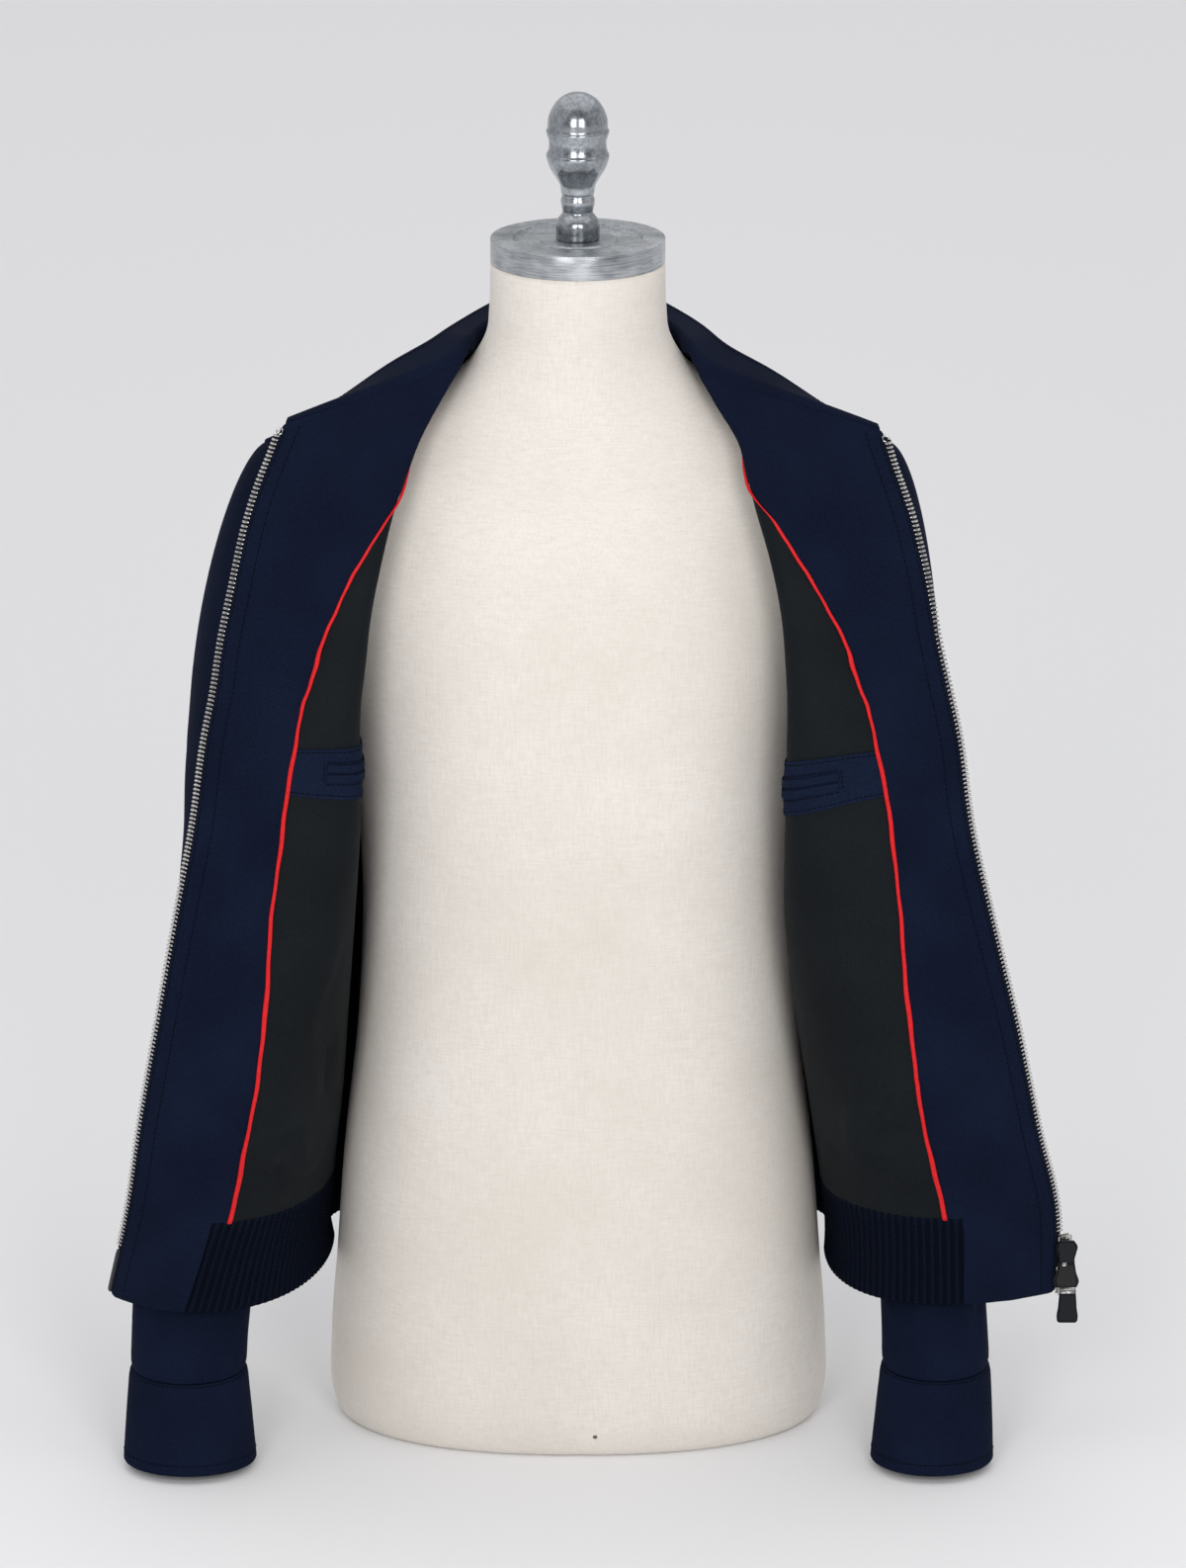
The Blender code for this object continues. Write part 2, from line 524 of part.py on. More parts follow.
# ---------------------------------------------------------------------------------------------
# Sub-parts
# ---------------------------------------------------------------------------------------------
def dress_form():
    """Torso of the form, with its metal neck cap and finial."""
    levels = [row[0] for row in FORM]
    levels = sorted(levels + [(a + b) / 2 for a, b in zip(levels[4:9], levels[5:10])])
    angles = np.arange(FORM_SIDES) * 2 * math.pi / FORM_SIDES
    rings = []
    for z in levels:
        half_width, half_depth, roundness = at_height(FORM, z)
        cos, sin = np.cos(angles), np.sin(angles)
        rings.append(np.stack([half_width * np.sign(cos) * np.abs(cos) ** (2 / roundness),
                               half_depth * np.sign(sin) * np.abs(sin) ** (2 / roundness),
                               np.full(FORM_SIDES, z)], axis=1))
    add_object("form_torso", grid_mesh("form_torso", np.array(rings), closed=True, caps=True), LINEN_CLOTH)
    bottom, rim = FORM[-1][0] + GAP, 0.0015
    turned("neck_cap", ((0, CAP_TOP_Z - 0.0010), (0.0265, CAP_TOP_Z - 0.0010), (0.0275, CAP_TOP_Z - 0.0022),
                        (0.0440, CAP_TOP_Z - 0.0022), (0.0455, CAP_TOP_Z), (CAP_RADIUS - rim, CAP_TOP_Z),
                        (CAP_RADIUS, CAP_TOP_Z - rim), (CAP_RADIUS, bottom), (0, bottom)), 32, METAL)
    foot = CAP_TOP_Z - 0.0010
    turned("finial", [(radius, foot + height) for radius, height in FINIAL_PROFILE], 14, METAL)


def fronts(side):
    """Outer front, lining, facing and piping of one side."""
    upper = np.append(FRONT_STATIONS, RIB_STATION - SEAM_STEP)
    stations = np.append(upper, (RIB_STATION + SEAM_STEP, HEM_STATION))
    rows_above_rib = len(upper) - 1
    outwards = SIDES[side][0]

    def tab_shape(tab):
        """Keep every face above the rib, and below it those of the tab."""
        return lambda row, column: row < rows_above_rib or column >= tab

    tab = FRONT_COLUMN_LINES.index(TAB_COLUMN)
    wall(f"front_{side}", front_surface(side, stations, FRONT_COLUMN_LINES, -LAYER, FRONT_COLUMN_SHIFTS),
         WOOL, WOOL_CLOTH, outwards, keep=tab_shape(tab))

    half = PIPING_WIDTH / 2
    lining_shifts = [0.0] * PIPING_COLUMN + [-half, -GAP]
    lining_columns = list(range(PIPING_COLUMN)) + [PIPING_COLUMN] * 2
    lining = front_surface(side, upper[1:], lining_columns, LAYER, lining_shifts)
    lining[:, 0] += unit(lining[:, 1] - lining[:, 0]) * LINING_INSET
    wall(f"lining_{side}", lining, LINING, LINING_CLOTH, -outwards)

    to_zip = list(range(TAB_COLUMN, ZIP_COLUMN + 1))
    facing_shifts = [GAP, half] + [0.0] * len(to_zip)
    facing = front_surface(side, stations, [PIPING_COLUMN] * 2 + to_zip, LAYER, facing_shifts)
    wall(f"facing_{side}", facing, FACING, WOOL_CLOTH, -outwards, keep=tab_shape(2))

    bead = front_surface(side, upper[1:], [PIPING_COLUMN] * 2, LAYER + FACING + PIPING_GAP, [-half, half])
    wall(f"piping_{side}", bead, PIPING_HEIGHT, RED_SATIN, -outwards)


def pocket(side):
    """Inner welt pocket: a wool patch on the lining with two welts round its slit."""
    at_piping, at_end = SIDES[side][3]

    def strip(columns, high, low, lift):
        """Grid on the lining along some columns, between two heights above the pocket's middle."""
        share = (POCKET_COLUMNS[0] - np.asarray(columns)) / (POCKET_COLUMNS[0] - POCKET_COLUMNS[-1])
        middle = at_piping + share * (at_end - at_piping)
        return np.array([[front_surface(side, [station - across / ROW_SPACING], [column], lift)[0, 0]
                          for station, column in zip(middle, columns)] for across in (high, low)])

    on_lining = LAYER + LINING + POCKET_GAP
    on_patch = on_lining + PATCH_THICKNESS + POCKET_GAP
    into = SIDES[side][0]
    wall(f"pocket_patch_{side}", strip(POCKET_COLUMNS, POCKET_HALF_HEIGHT, -POCKET_HALF_HEIGHT, on_lining),
         PATCH_THICKNESS, WOOL_CLOTH, into)
    inner, outer = WELT_SLIT / 2, WELT_SLIT / 2 + WELT_HEIGHT
    wall(f"pocket_welt_upper_{side}", strip(WELT_COLUMNS, outer, inner, on_patch), WELT_THICKNESS,
         WOOL_CLOTH, into)
    wall(f"pocket_welt_lower_{side}", strip(WELT_COLUMNS, -inner, -outer, on_patch), WELT_THICKNESS,
         WOOL_CLOTH, into)


def back():
    """Back panel, from the rib seam to the neckline and shoulder seams."""
    levels = [body_seam(station)[2] for station in FRONT_STATIONS if station > ARMPIT_STATION]
    levels = [RIB_SEAM_Z + GAP / 2] + levels[::-1]
    half = back_points(levels, np.linspace(0, 1, 9)[1:], BACK_TURNS)
    half[:, :, 1] += LAYER
    wall("back", mirrored(half), WOOL, WOOL_CLOTH, -1)


def sleeve(side):
    """Sleeve and cuff of one side, both hollow and open at their ends."""
    sign, _, table, _ = SIDES[side]
    levels = (0.42, 0.34, 0.26, 0.18, 0.12, CUFF_SEAM_Z + GAP / 2)
    rings = np.concatenate([sleeve_head(table, np.linspace(0, 1, 7)),
                            [sleeve_ring(table, z) for z in levels]])
    flip = np.array([sign, 1, 1])
    wall(f"sleeve_{side}", rings * flip, WOOL, WOOL_CLOTH, -sign, closed=True)
    cuff = np.array([sleeve_ring(table, z) for z in (CUFF_SEAM_Z - 1.5 * GAP, 0.038, CUFF_HEM_Z)])
    wall(f"cuff_{side}", cuff * flip, WOOL, WOOL_CLOTH, -sign, closed=True)


def collar():
    """Stand collar, open at the front and laid back over the shoulders."""
    neck_shares = [turn / BACK_NECK_SHARE for turn in BACK_TURNS if turn <= BACK_NECK_SHARE + 1e-6]
    columns = [2, 4, 6] + list(range(PIPING_COLUMN, ZIP_COLUMN + 1))
    shares = np.array(neck_shares + [1 + COLLAR_SHARES[column] for column in columns])
    stand = np.array(COLLAR_STAND).T
    rise = unit(np.stack([np.interp(shares, stand[0], stand[k]) for k in (1, 2, 3)], axis=1))
    lean = unit(np.stack([np.interp(shares, stand[0], stand[k]) for k in (4, 5, 6)], axis=1))
    gap = np.interp(shares, stand[0], stand[7])[:, None]
    halves = []
    for side, (sign, *_) in SIDES.items():
        neck = [neckline_back(share) + np.array([0, LAYER, 0]) for share in neck_shares]
        base = np.concatenate([neck, front_surface(side, [0], columns)[0] * [sign, 1, 1]])
        rows = [base + rise * gap]
        rows.append(rows[-1] + rise * COLLAR_RISE)
        rows.append(rows[-1] + unit(rise + lean) * COLLAR_RISE)
        rest = COLLAR_HEIGHT - 2 * COLLAR_RISE
        rows.extend([rows[-1] + lean * rest / 2, rows[-1] + lean * rest])
        halves.append(np.array(rows) * [sign, 1, 1])
    grid = np.concatenate([halves[0][:, :0:-1], halves[1]], axis=1)
    wall("collar", grid, COLLAR, WOOL_CLOTH, 0)


def hem_rib():
    """Ribbed hem band, from one tab round the back to the other."""
    lines = FRONT_COLUMN_LINES[:FRONT_COLUMN_LINES.index(TAB_COLUMN) + 1]
    shifts = FRONT_COLUMN_SHIFTS[:len(lines) - 1] + (-3 * GAP,)
    edges = []
    for station, z in ((RIB_STATION + 3 * SEAM_STEP, RIB_SEAM_Z - 1.5 * GAP), (HEM_STATION, HEM_Z)):
        half_back = np.array([back_point(z, turn) for turn in BACK_TURNS])
        right = front_surface("right", [station], lines, 0.0, shifts)[0]
        left = front_surface("left", [station], lines, 0.0, shifts)[0]
        edges.append(np.concatenate([right[:0:-1], half_back[::-1] * [-1, 1, 1], half_back[1:], left[1:]]))
    length = np.sum(np.linalg.norm(np.diff(edges[1], axis=0), axis=1))
    count = 2 * round(length / RIB_PITCH)
    rows = []
    for line in edges:
        steps = np.concatenate([[0], np.cumsum(np.linalg.norm(np.diff(line, axis=0), axis=1))])
        marks = np.linspace(0, steps[-1], count + 1)
        row = np.stack([np.interp(marks, steps, line[:, k]) for k in range(3)], axis=1)
        tangent = np.gradient(row, axis=0)
        outward = unit(np.stack([-tangent[:, 1], tangent[:, 0], np.zeros(count + 1)], axis=1))
        wave = np.where(np.arange(count + 1) % 2 == 0, -0.5, 0.5) * RIB_RELIEF
        rows.append(row + outward * wave[:, None])
    wall("hem_rib", np.array(rows), RIB_KNIT, WOOL_CLOTH, 0)


def zip_edge(side, stations):
    """Points of a front's faceted zip edge at some stations, and its outward direction there."""
    lines = np.array(FRONT_STATIONS + (RIB_STATION - SEAM_STEP, RIB_STATION + SEAM_STEP, HEM_STATION))
    edge = front_surface(side, lines, [ZIP_COLUMN])[:, 0]
    inner = front_surface(side, lines, [ZIP_COLUMN - 1])[:, 0]
    points, reach = (np.stack([np.interp(stations, lines, line[:, k]) for k in range(3)], axis=1)
                     for line in (edge, unit(edge - inner)))
    return points, unit(reach)


def zip_strip(name, side, first, last, thickness, surface, width=ZIP_WIDTH):
    """Zip tape with its row of teeth, along the front's edge between two stations."""
    lines = FRONT_STATIONS + (RIB_STATION - SEAM_STEP, RIB_STATION + SEAM_STEP)
    stations = [first] + [station for station in lines if first < station < last] + [last]
    edge, reach = zip_edge(side, stations)
    strip = np.stack([edge + reach * 1.5 * GAP, edge + reach * (1.5 * GAP + width)], axis=1)
    wall(name, strip, thickness, surface, 0)


def slider(name, centre, reach, stud_level):
    """A slider: a plate folded round the teeth, with a stud in front that holds the pull."""
    width, depth, height = SLIDER_SIZE
    half, slot, into = depth / 2, ZIP_THICKNESS / 2 + GAP, SLIDER_SLOT
    profile = ((0, -half), (0.35 * width, -half), (0.65 * width, -half), (width, -half), (width, half),
               (0, half), (0, slot), (into, slot), (into, -slot), (0, -slot))
    backwards = unit(np.cross([0, 0, 1], reach))
    half_stud = SLIDER_STUD_HEIGHT / 2
    levels = (-height / 2, stud_level - half_stud, stud_level + half_stud, height / 2)
    made = bmesh.new()
    rings = [[made.verts.new(tuple(reach * (a - into) + backwards * b + np.array([0, 0, z])))
              for a, b in profile] for z in levels]
    for low, high in zip(rings, rings[1:]):
        for k in range(len(profile)):
            n = (k + 1) % len(profile)
            made.faces.new((low[k], low[n], high[n], high[k]))
    made.faces.new(rings[0][::-1])
    made.faces.new(rings[-1])
    made.faces.ensure_lookup_table()
    stud = bmesh.ops.extrude_discrete_faces(made, faces=[made.faces[len(profile) + 1]])["faces"][0]
    bmesh.ops.translate(made, verts=stud.verts, vec=tuple(-backwards * SLIDER_STUD))
    bmesh.ops.recalc_face_normals(made, faces=made.faces)
    mesh = bpy.data.meshes.new(name)
    made.to_mesh(mesh)
    made.free()
    placed = add_object(name, mesh, SILVER)
    placed.location = tuple(centre)


def pull(name, hinge, outline):
    """A leather pull hanging below its hinge point, cut to a symmetric outline."""
    grid = np.array([[[-half, 0, -drop], [0, 0, -drop], [half, 0, -drop]] for half, drop in outline])
    made = wall(name, grid, PULL_THICKNESS, BLACK_LEATHER, 0)
    made.location = tuple(hinge)


def sliders():
    """Both sliders of the two-way zip, run down to its lower end, and their leather pulls."""
    edge, reach = zip_edge("left", np.linspace(RIB_STATION, HEM_STATION, 60))
    for name, z, stud_level, outline in SLIDERS:
        k = int(np.argmin(np.abs(edge[:, 2] - z)))
        out = unit(reach[k] * [1, 1, 0])
        centre = np.append((edge[k] + out * (1.5 * GAP + ZIP_WIDTH + GAP))[:2], z)
        slider(f"zip_slider_{name}", centre, out, stud_level)
        stud = centre + out * (SLIDER_SIZE[0] / 2 - SLIDER_SLOT) + np.array([0, 0, stud_level])
        stud += np.array([out[1], -out[0], 0]) * (SLIDER_SIZE[1] / 2 + SLIDER_STUD)
        in_front = SLIDER_SIZE[0] * 0.15 * out[1] + GAP + PULL_THICKNESS / 2
        pull(f"zip_pull_{name}", stud - np.array([0, in_front, 0]), outline)


COLLECTION = start_scene()
WOOL_CLOTH = material("navy_wool", NAVY, 0.9)
LINING_CLOTH = material("lining", BLACK_GREEN, 0.6)
RED_SATIN = material("red_piping", RED, 0.5)
LINEN_CLOTH = material("form_linen", LINEN, 0.9)
METAL = material("cast_metal", ZINC, 0.4, 1.0)
SILVER = material("zip_metal", STEEL, 0.25, 1.0)
BLACK_LEATHER = material("pull_leather", LEATHER, 0.55)

dress_form()
back()
for SIDE in SIDES:
    fronts(SIDE)
    pocket(SIDE)
    sleeve(SIDE)
collar()
hem_rib()
zip_strip("zip_right", "right", ZIP_TOP_STATION, ZIP_PIN_STATIONS[0] - 0.01, ZIP_THICKNESS, SILVER)
zip_strip("zip_left", "left", ZIP_TOP_STATION, ZIP_LEFT_END_STATION, ZIP_THICKNESS, SILVER)
zip_strip("zip_pin", "right", *ZIP_PIN_STATIONS, 0.0034, BLACK_LEATHER, 0.0042)
sliders()
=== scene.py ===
"""Looks of a navy wool zip blouson, worn open on a limbless dress form.

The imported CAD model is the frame: metres, +Z up, the form's base at z = 0 and the open front
towards -Y, so the wearer's right side is at -X. A cloth surface is a grid of points worked out
from a few curves. Every layer of a front is made from one such surface, creases included, and
moved along its normals, so that the layers lie on each other and never cross.
"""
import json
import math

import bpy
import numpy as np
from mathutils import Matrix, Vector


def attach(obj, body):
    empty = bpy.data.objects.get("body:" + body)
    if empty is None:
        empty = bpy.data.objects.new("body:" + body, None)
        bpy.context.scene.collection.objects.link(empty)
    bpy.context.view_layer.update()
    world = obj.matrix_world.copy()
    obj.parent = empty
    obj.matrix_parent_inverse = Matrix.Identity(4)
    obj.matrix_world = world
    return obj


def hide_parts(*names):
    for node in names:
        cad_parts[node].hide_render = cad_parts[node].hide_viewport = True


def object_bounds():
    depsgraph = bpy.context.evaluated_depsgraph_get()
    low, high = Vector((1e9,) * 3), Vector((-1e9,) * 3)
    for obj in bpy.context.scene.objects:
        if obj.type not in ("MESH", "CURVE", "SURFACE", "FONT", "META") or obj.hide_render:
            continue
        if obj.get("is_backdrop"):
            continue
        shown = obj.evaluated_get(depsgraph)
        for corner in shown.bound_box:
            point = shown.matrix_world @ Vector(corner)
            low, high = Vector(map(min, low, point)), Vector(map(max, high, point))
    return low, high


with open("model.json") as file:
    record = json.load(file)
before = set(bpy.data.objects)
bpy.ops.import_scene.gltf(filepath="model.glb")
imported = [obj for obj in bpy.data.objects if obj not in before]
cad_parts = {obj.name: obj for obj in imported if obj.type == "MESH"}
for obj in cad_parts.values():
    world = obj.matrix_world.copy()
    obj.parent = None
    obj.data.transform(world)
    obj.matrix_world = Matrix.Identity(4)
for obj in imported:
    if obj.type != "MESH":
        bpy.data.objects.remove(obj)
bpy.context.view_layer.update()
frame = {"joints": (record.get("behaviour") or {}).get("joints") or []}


# ----------------------------------------------------------------------
# Tools for looks: colours, the nodes of a material, and putting objects in the scene. A function
# that adds a node gives back the socket to link from.


def linear(code):
    """An sRGB hex colour as linear RGBA: c / 12.92 up to 0.04045, else ((c + 0.055) / 1.055) ** 2.4."""
    parts = [int(code[k:k + 2], 16) / 255 for k in (1, 3, 5)]
    return (*[c / 12.92 if c <= 0.04045 else ((c + 0.055) / 1.055) ** 2.4 for c in parts], 1.0)


def add(tree, kind, inputs=None, **settings):
    """Add a node of a kind with its settings; inputs maps a socket to a value or to a link's source."""
    node = tree.nodes.new(kind)
    for key, value in settings.items():
        setattr(node, key, value)
    for key, value in (inputs or {}).items():
        if isinstance(value, bpy.types.NodeSocket):
            tree.links.new(value, node.inputs[key])
        else:
            node.inputs[key].default_value = value
    return node


def start_material(name, **sockets):
    """A Principled material with values on its sockets, such as Sheen_Weight=0.4, and its tree."""
    made = bpy.data.materials.new(name)
    made.use_nodes = True
    for key, value in sockets.items():
        made.node_tree.nodes["Principled BSDF"].inputs[key.replace("_", " ")].default_value = value
    return made, made.node_tree


def in_solid(tree):
    """A point's place in its object."""
    return add(tree, "ShaderNodeTexCoord").outputs["Object"]


def on_cloth(tree):
    """A point's place on the flat cloth."""
    return add(tree, "ShaderNodeUVMap", uv_map="cloth").outputs[0]


def stretched(tree, place, scale):
    """A place with its coordinates multiplied by the scale."""
    return add(tree, "ShaderNodeMapping", {"Vector": place, "Scale": scale}).outputs[0]


def dot(tree, place, way):
    """The dot product of a place and a direction."""
    return add(tree, "ShaderNodeVectorMath", {0: place, 1: way}, operation="DOT_PRODUCT").outputs["Value"]


def combine(tree, operation, *values):
    """The result of an operation on numbers or sockets."""
    return add(tree, "ShaderNodeMath", dict(enumerate(values)), operation=operation).outputs[0]


def noise(tree, place, scale, detail, **more):
    """Noise from 0 to 1, with about scale spots in a unit of the place."""
    inputs = {"Vector": place, "Scale": scale, "Detail": detail, **more}
    return add(tree, "ShaderNodeTexNoise", inputs).outputs["Fac"]


def ramp(tree, value, low=0.0, high=1.0, to_low=0.0, to_high=1.0, shape="LINEAR"):
    """A value's way from low to high, carried over to the way from to_low to to_high."""
    inputs = {"Value": value, "From Min": low, "From Max": high, "To Min": to_low, "To Max": to_high}
    return add(tree, "ShaderNodeMapRange", inputs, interpolation_type=shape).outputs[0]


def blend(tree, share, first, second):
    """The colour between two hex colours at a share."""
    inputs = {0: share, 6: linear(first), 7: linear(second)}
    return add(tree, "ShaderNodeMix", inputs, data_type="RGBA").outputs[2]


def connect(tree, source, socket):
    """Let a socket of the Principled shader follow a source."""
    tree.links.new(source, tree.nodes["Principled BSDF"].inputs[socket])


def paint(tree, share, dark, light):
    """Colour the surface from dark (share 0) to light (1)."""
    connect(tree, blend(tree, share, dark, light), "Base Color")


def emboss(tree, height, strength, distance):
    """Bend the surface's normals as if the height stood out of it by up to the distance."""
    relief = add(tree, "ShaderNodeBump", {"Height": height, "Strength": strength, "Distance": distance})
    connect(tree, relief.outputs[0], "Normal")


def stand(name, data, place=(0, 0, 0), aim=None):
    """Put an object in the scene, with its -Z axis along the aim if there is one."""
    made = bpy.data.objects.new(name, data)
    made.location = place
    if aim is not None:
        made.rotation_mode = "QUATERNION"
        made.rotation_quaternion = aim.to_track_quat("-Z", "Y")
    bpy.context.scene.collection.objects.link(made)
    return made


# ----------------------------------------------------------------------
# Tools for shapes. A shape is a pair of points and quads; a cloth surface is a grid of points.
AXES = np.eye(3)
# A cloth's rim as a share of its thickness.
EDGE_RIM = 0.45


def cubic(start, end, leave, arrive, f):
    """Hermite curve: from start to end, with the tangents leave and arrive, at shares f."""
    return ((1 + 2 * f) * (1 - f) ** 2 * start + f * f * (3 - 2 * f) * end
            + f * (1 - f) ** 2 * leave - f * f * (1 - f) * arrive)


def at_height(table, z):
    """Smooth values of a table's other columns at heights z: a cubic between two rows, whose
    slope at each row is that of the rows on both sides of it."""
    rows = np.asarray(table, float)
    heights, values = rows[:, 0], rows[:, 1:]
    slopes = np.gradient(values, heights, axis=0)
    z = np.asarray(z, float)
    k = np.clip(np.searchsorted(heights, z) - 1, 0, len(rows) - 2)
    step = (heights[k + 1] - heights[k])[..., None]
    f = (z - heights[k])[..., None] / step
    return cubic(values[k], values[k + 1], slopes[k] * step, slopes[k + 1] * step, f)


def along_rows(table, s):
    """Catmull-Rom values of a table's columns at places s, where row 0 is at 0 and row 1 at 1."""
    rows = np.asarray(table, float)
    s = np.asarray(s, float)
    last = len(rows) - 1
    k = np.clip(np.floor(s).astype(int), 0, last - 1)
    f = (s - k)[..., None]
    before, a, b, after = (rows[np.clip(k + step, 0, last)] for step in (-1, 0, 1, 2))
    return a + 0.5 * f * (b - before + f * (2 * before - 5 * a + 4 * b - after
                                            + f * (3 * (a - b) + after - before)))


def unit(vectors):
    """Vectors scaled to length 1."""
    return vectors / np.maximum(np.linalg.norm(vectors, axis=-1, keepdims=True), 1e-12)


def between(start, end, share):
    """From start (share 0) to end (1)."""
    return start * (1 - share) + end * share


def points_of(*coordinates):
    """Points of the coordinates, which are stretched to one shape."""
    return np.stack(np.broadcast_arrays(*coordinates), axis=-1)


def full_turn(count):
    """Angles of count even steps round a circle."""
    return np.linspace(0, 2 * math.pi, count, endpoint=False)


def oval(half_width, half_height, angles, roundness=2.0):
    """Superellipse [..., angle, 2]: half width * |cos| ** (2 / roundness) by half height * |sin| **
    (2 / roundness), each with its sign. Roundness 2 is an ellipse."""
    sides = []
    for half, wave in ((half_width, np.cos(angles)), (half_height, np.sin(angles))):
        sides.append(half * np.sign(wave) * np.abs(wave) ** (2 / roundness))
    return np.stack(sides, axis=-1)


def at_level(rings, z):
    """Rings of places [row, column, 2] with their heights z as the third coordinate."""
    return np.concatenate([rings, np.broadcast_to(z[:, None, None], (*rings.shape[:2], 1))], axis=-1)


def steps_along(grid, axis=0):
    """Distances between the neighbouring points of a line or grid."""
    return np.linalg.norm(np.diff(grid, axis=axis), axis=-1)


def running(steps):
    """Sums of the steps up to each point, from 0."""
    return np.concatenate([[0], np.cumsum(steps)])


def at_marks(line, passed, marks):
    """Points of a line at marks, where passed tells the mark of each of its own points."""
    return np.stack([np.interp(marks, passed, line[:, k]) for k in range(3)], axis=-1)


def edge_steps(count, first):
    """Shares from 0 to 1 with two closer steps at each end, where a cloth edge rounds over. Pairs
    such as BACK_ROWS give the count and the share of the first step."""
    inner = np.linspace(0, 1, count)[1:-1]
    return np.concatenate([[0, first, 3 * first], inner, [1 - 3 * first, 1 - first, 1]])


def surface_normals(grid, wrap=False):
    """Unit normals of a grid: the cross product of its steps down the rows and across them."""
    down = np.gradient(grid, axis=0)
    if wrap:
        over = np.roll(grid, -1, axis=1) - np.roll(grid, 1, axis=1)
    else:
        over = np.gradient(grid, axis=1)
    return unit(np.cross(down, over))


def creases(across, up, lines, jitter):
    """Height of soft folds over a panel. A fold runs from one point to another, bowed sideways;
    its height is a bell over the distance from that line, and rises and falls along it as the
    square root of a half sine. jitter bends every fold by a slow wave, so that none is straight."""
    height = np.zeros_like(across)
    for x0, z0, x1, z1, bow, half_width, rise in lines:
        length = math.hypot(x1 - x0, z1 - z0)
        share = ((across - x0) * (x1 - x0) + (up - z0) * (z1 - z0)) / length ** 2
        off = ((up - z0) * (x1 - x0) - (across - x0) * (z1 - z0)) / length
        inside = np.clip(share, 0, 1)
        wander = jitter * np.sin(9 * inside + 40 * x0) * half_width
        off = off - bow * np.sin(math.pi * inside) - wander
        beyond = (share - inside) * length
        bell = np.exp(-(off / half_width) ** 2 - (beyond / half_width) ** 2)
        height = height + rise * bell * np.sqrt(np.maximum(np.sin(math.pi * inside), 0.0))
    return height


def closed_rings(rings):
    """A solid from a stack of rings [row, column, xyz], closed by a point in the middle of its
    first and of its last ring."""
    rows, columns = rings.shape[:2]
    r, c = np.meshgrid(np.arange(rows - 1), np.arange(columns), indexing="ij")
    n = (c + 1) % columns
    sides = np.stack([r * columns + c, r * columns + n, (r + 1) * columns + n, (r + 1) * columns + c], -1)
    c, n, top = c[0], n[0], (rows - 1) * columns
    pole = np.full(columns, rows * columns)
    low = np.stack([n, c, pole, pole], -1)
    high = np.stack([top + c, top + n, pole + 1, pole + 1], -1)
    points = np.concatenate([rings.reshape(-1, 3), rings[:1].mean(axis=1), rings[-1:].mean(axis=1)])
    return points, np.concatenate([sides.reshape(-1, 4), low, high])


def tube(line, first, second, section):
    """A solid with a section [row or 1, corner, 2] around each point of a line, laid along two
    directions."""
    first, second = np.atleast_2d(first)[:, None], np.atleast_2d(second)[:, None]
    return closed_rings(line[:, None] + first * section[..., :1] + second * section[..., 1:])


def turned(profile, foot, columns):
    """A profile of (radius, height) turned about the z axis."""
    radius, height = profile.T
    line = AXES[2] * (foot + height)[:, None]
    return tube(line, AXES[0], AXES[1], radius[:, None, None] * oval(1, 1, full_turn(columns)))


def rounded_bar(length, width, height, bevel):
    """A bar along its first axis: rectangles with cut corners, which shrink at both ends."""
    half = np.array([width, height]) / 2
    signs = np.repeat([(1, 1), (-1, 1), (-1, -1), (1, -1)], 2, axis=0)
    ring = (half - bevel * np.array([(1, 0), (0, 1), (0, 1), (1, 0)] * 2)) * signs
    rings = []
    for place, full in ((-0.5, 0.0), (-0.5 + bevel / length, 1.0), (0.5 - bevel / length, 1.0), (0.5, 0.0)):
        section = ring * (1 - (1 - full) * bevel / half)
        rings.append(np.concatenate([np.full((len(ring), 1), length * place), section], axis=1))
    return closed_rings(np.stack(rings))


def strewn(shape, places, *directions):
    """Copies of a shape at places, its three axes laid along the three directions."""
    points, quads = shape
    places = np.atleast_2d(places)
    copies = places[:, None]
    for axis, direction in enumerate(directions):
        copies = copies + points[None, :, axis:axis + 1] * np.atleast_2d(direction)[:, None]
    shifts = np.arange(len(places)) * len(points)
    return copies.reshape(-1, 3), (quads[None] + shifts[:, None, None]).reshape(-1, 4)


def joined(shapes):
    """Several shapes as one."""
    starts = running([len(points) for points, _ in shapes[:-1]])
    return (np.concatenate([points for points, _ in shapes]),
            np.concatenate([quads + start for start, (_, quads) in zip(starts, shapes)]))


def enclosed(points, faces):
    """Signed volume inside a closed mesh: the sum of a . (b x c) / 6 over its triangles."""
    total = 0.0
    for k in range(1, faces.shape[1] - 1):
        a, b, c = points[faces[:, 0]], points[faces[:, k]], points[faces[:, k + 1]]
        total += float(np.sum(a * np.cross(b, c)) / 6)
    return total


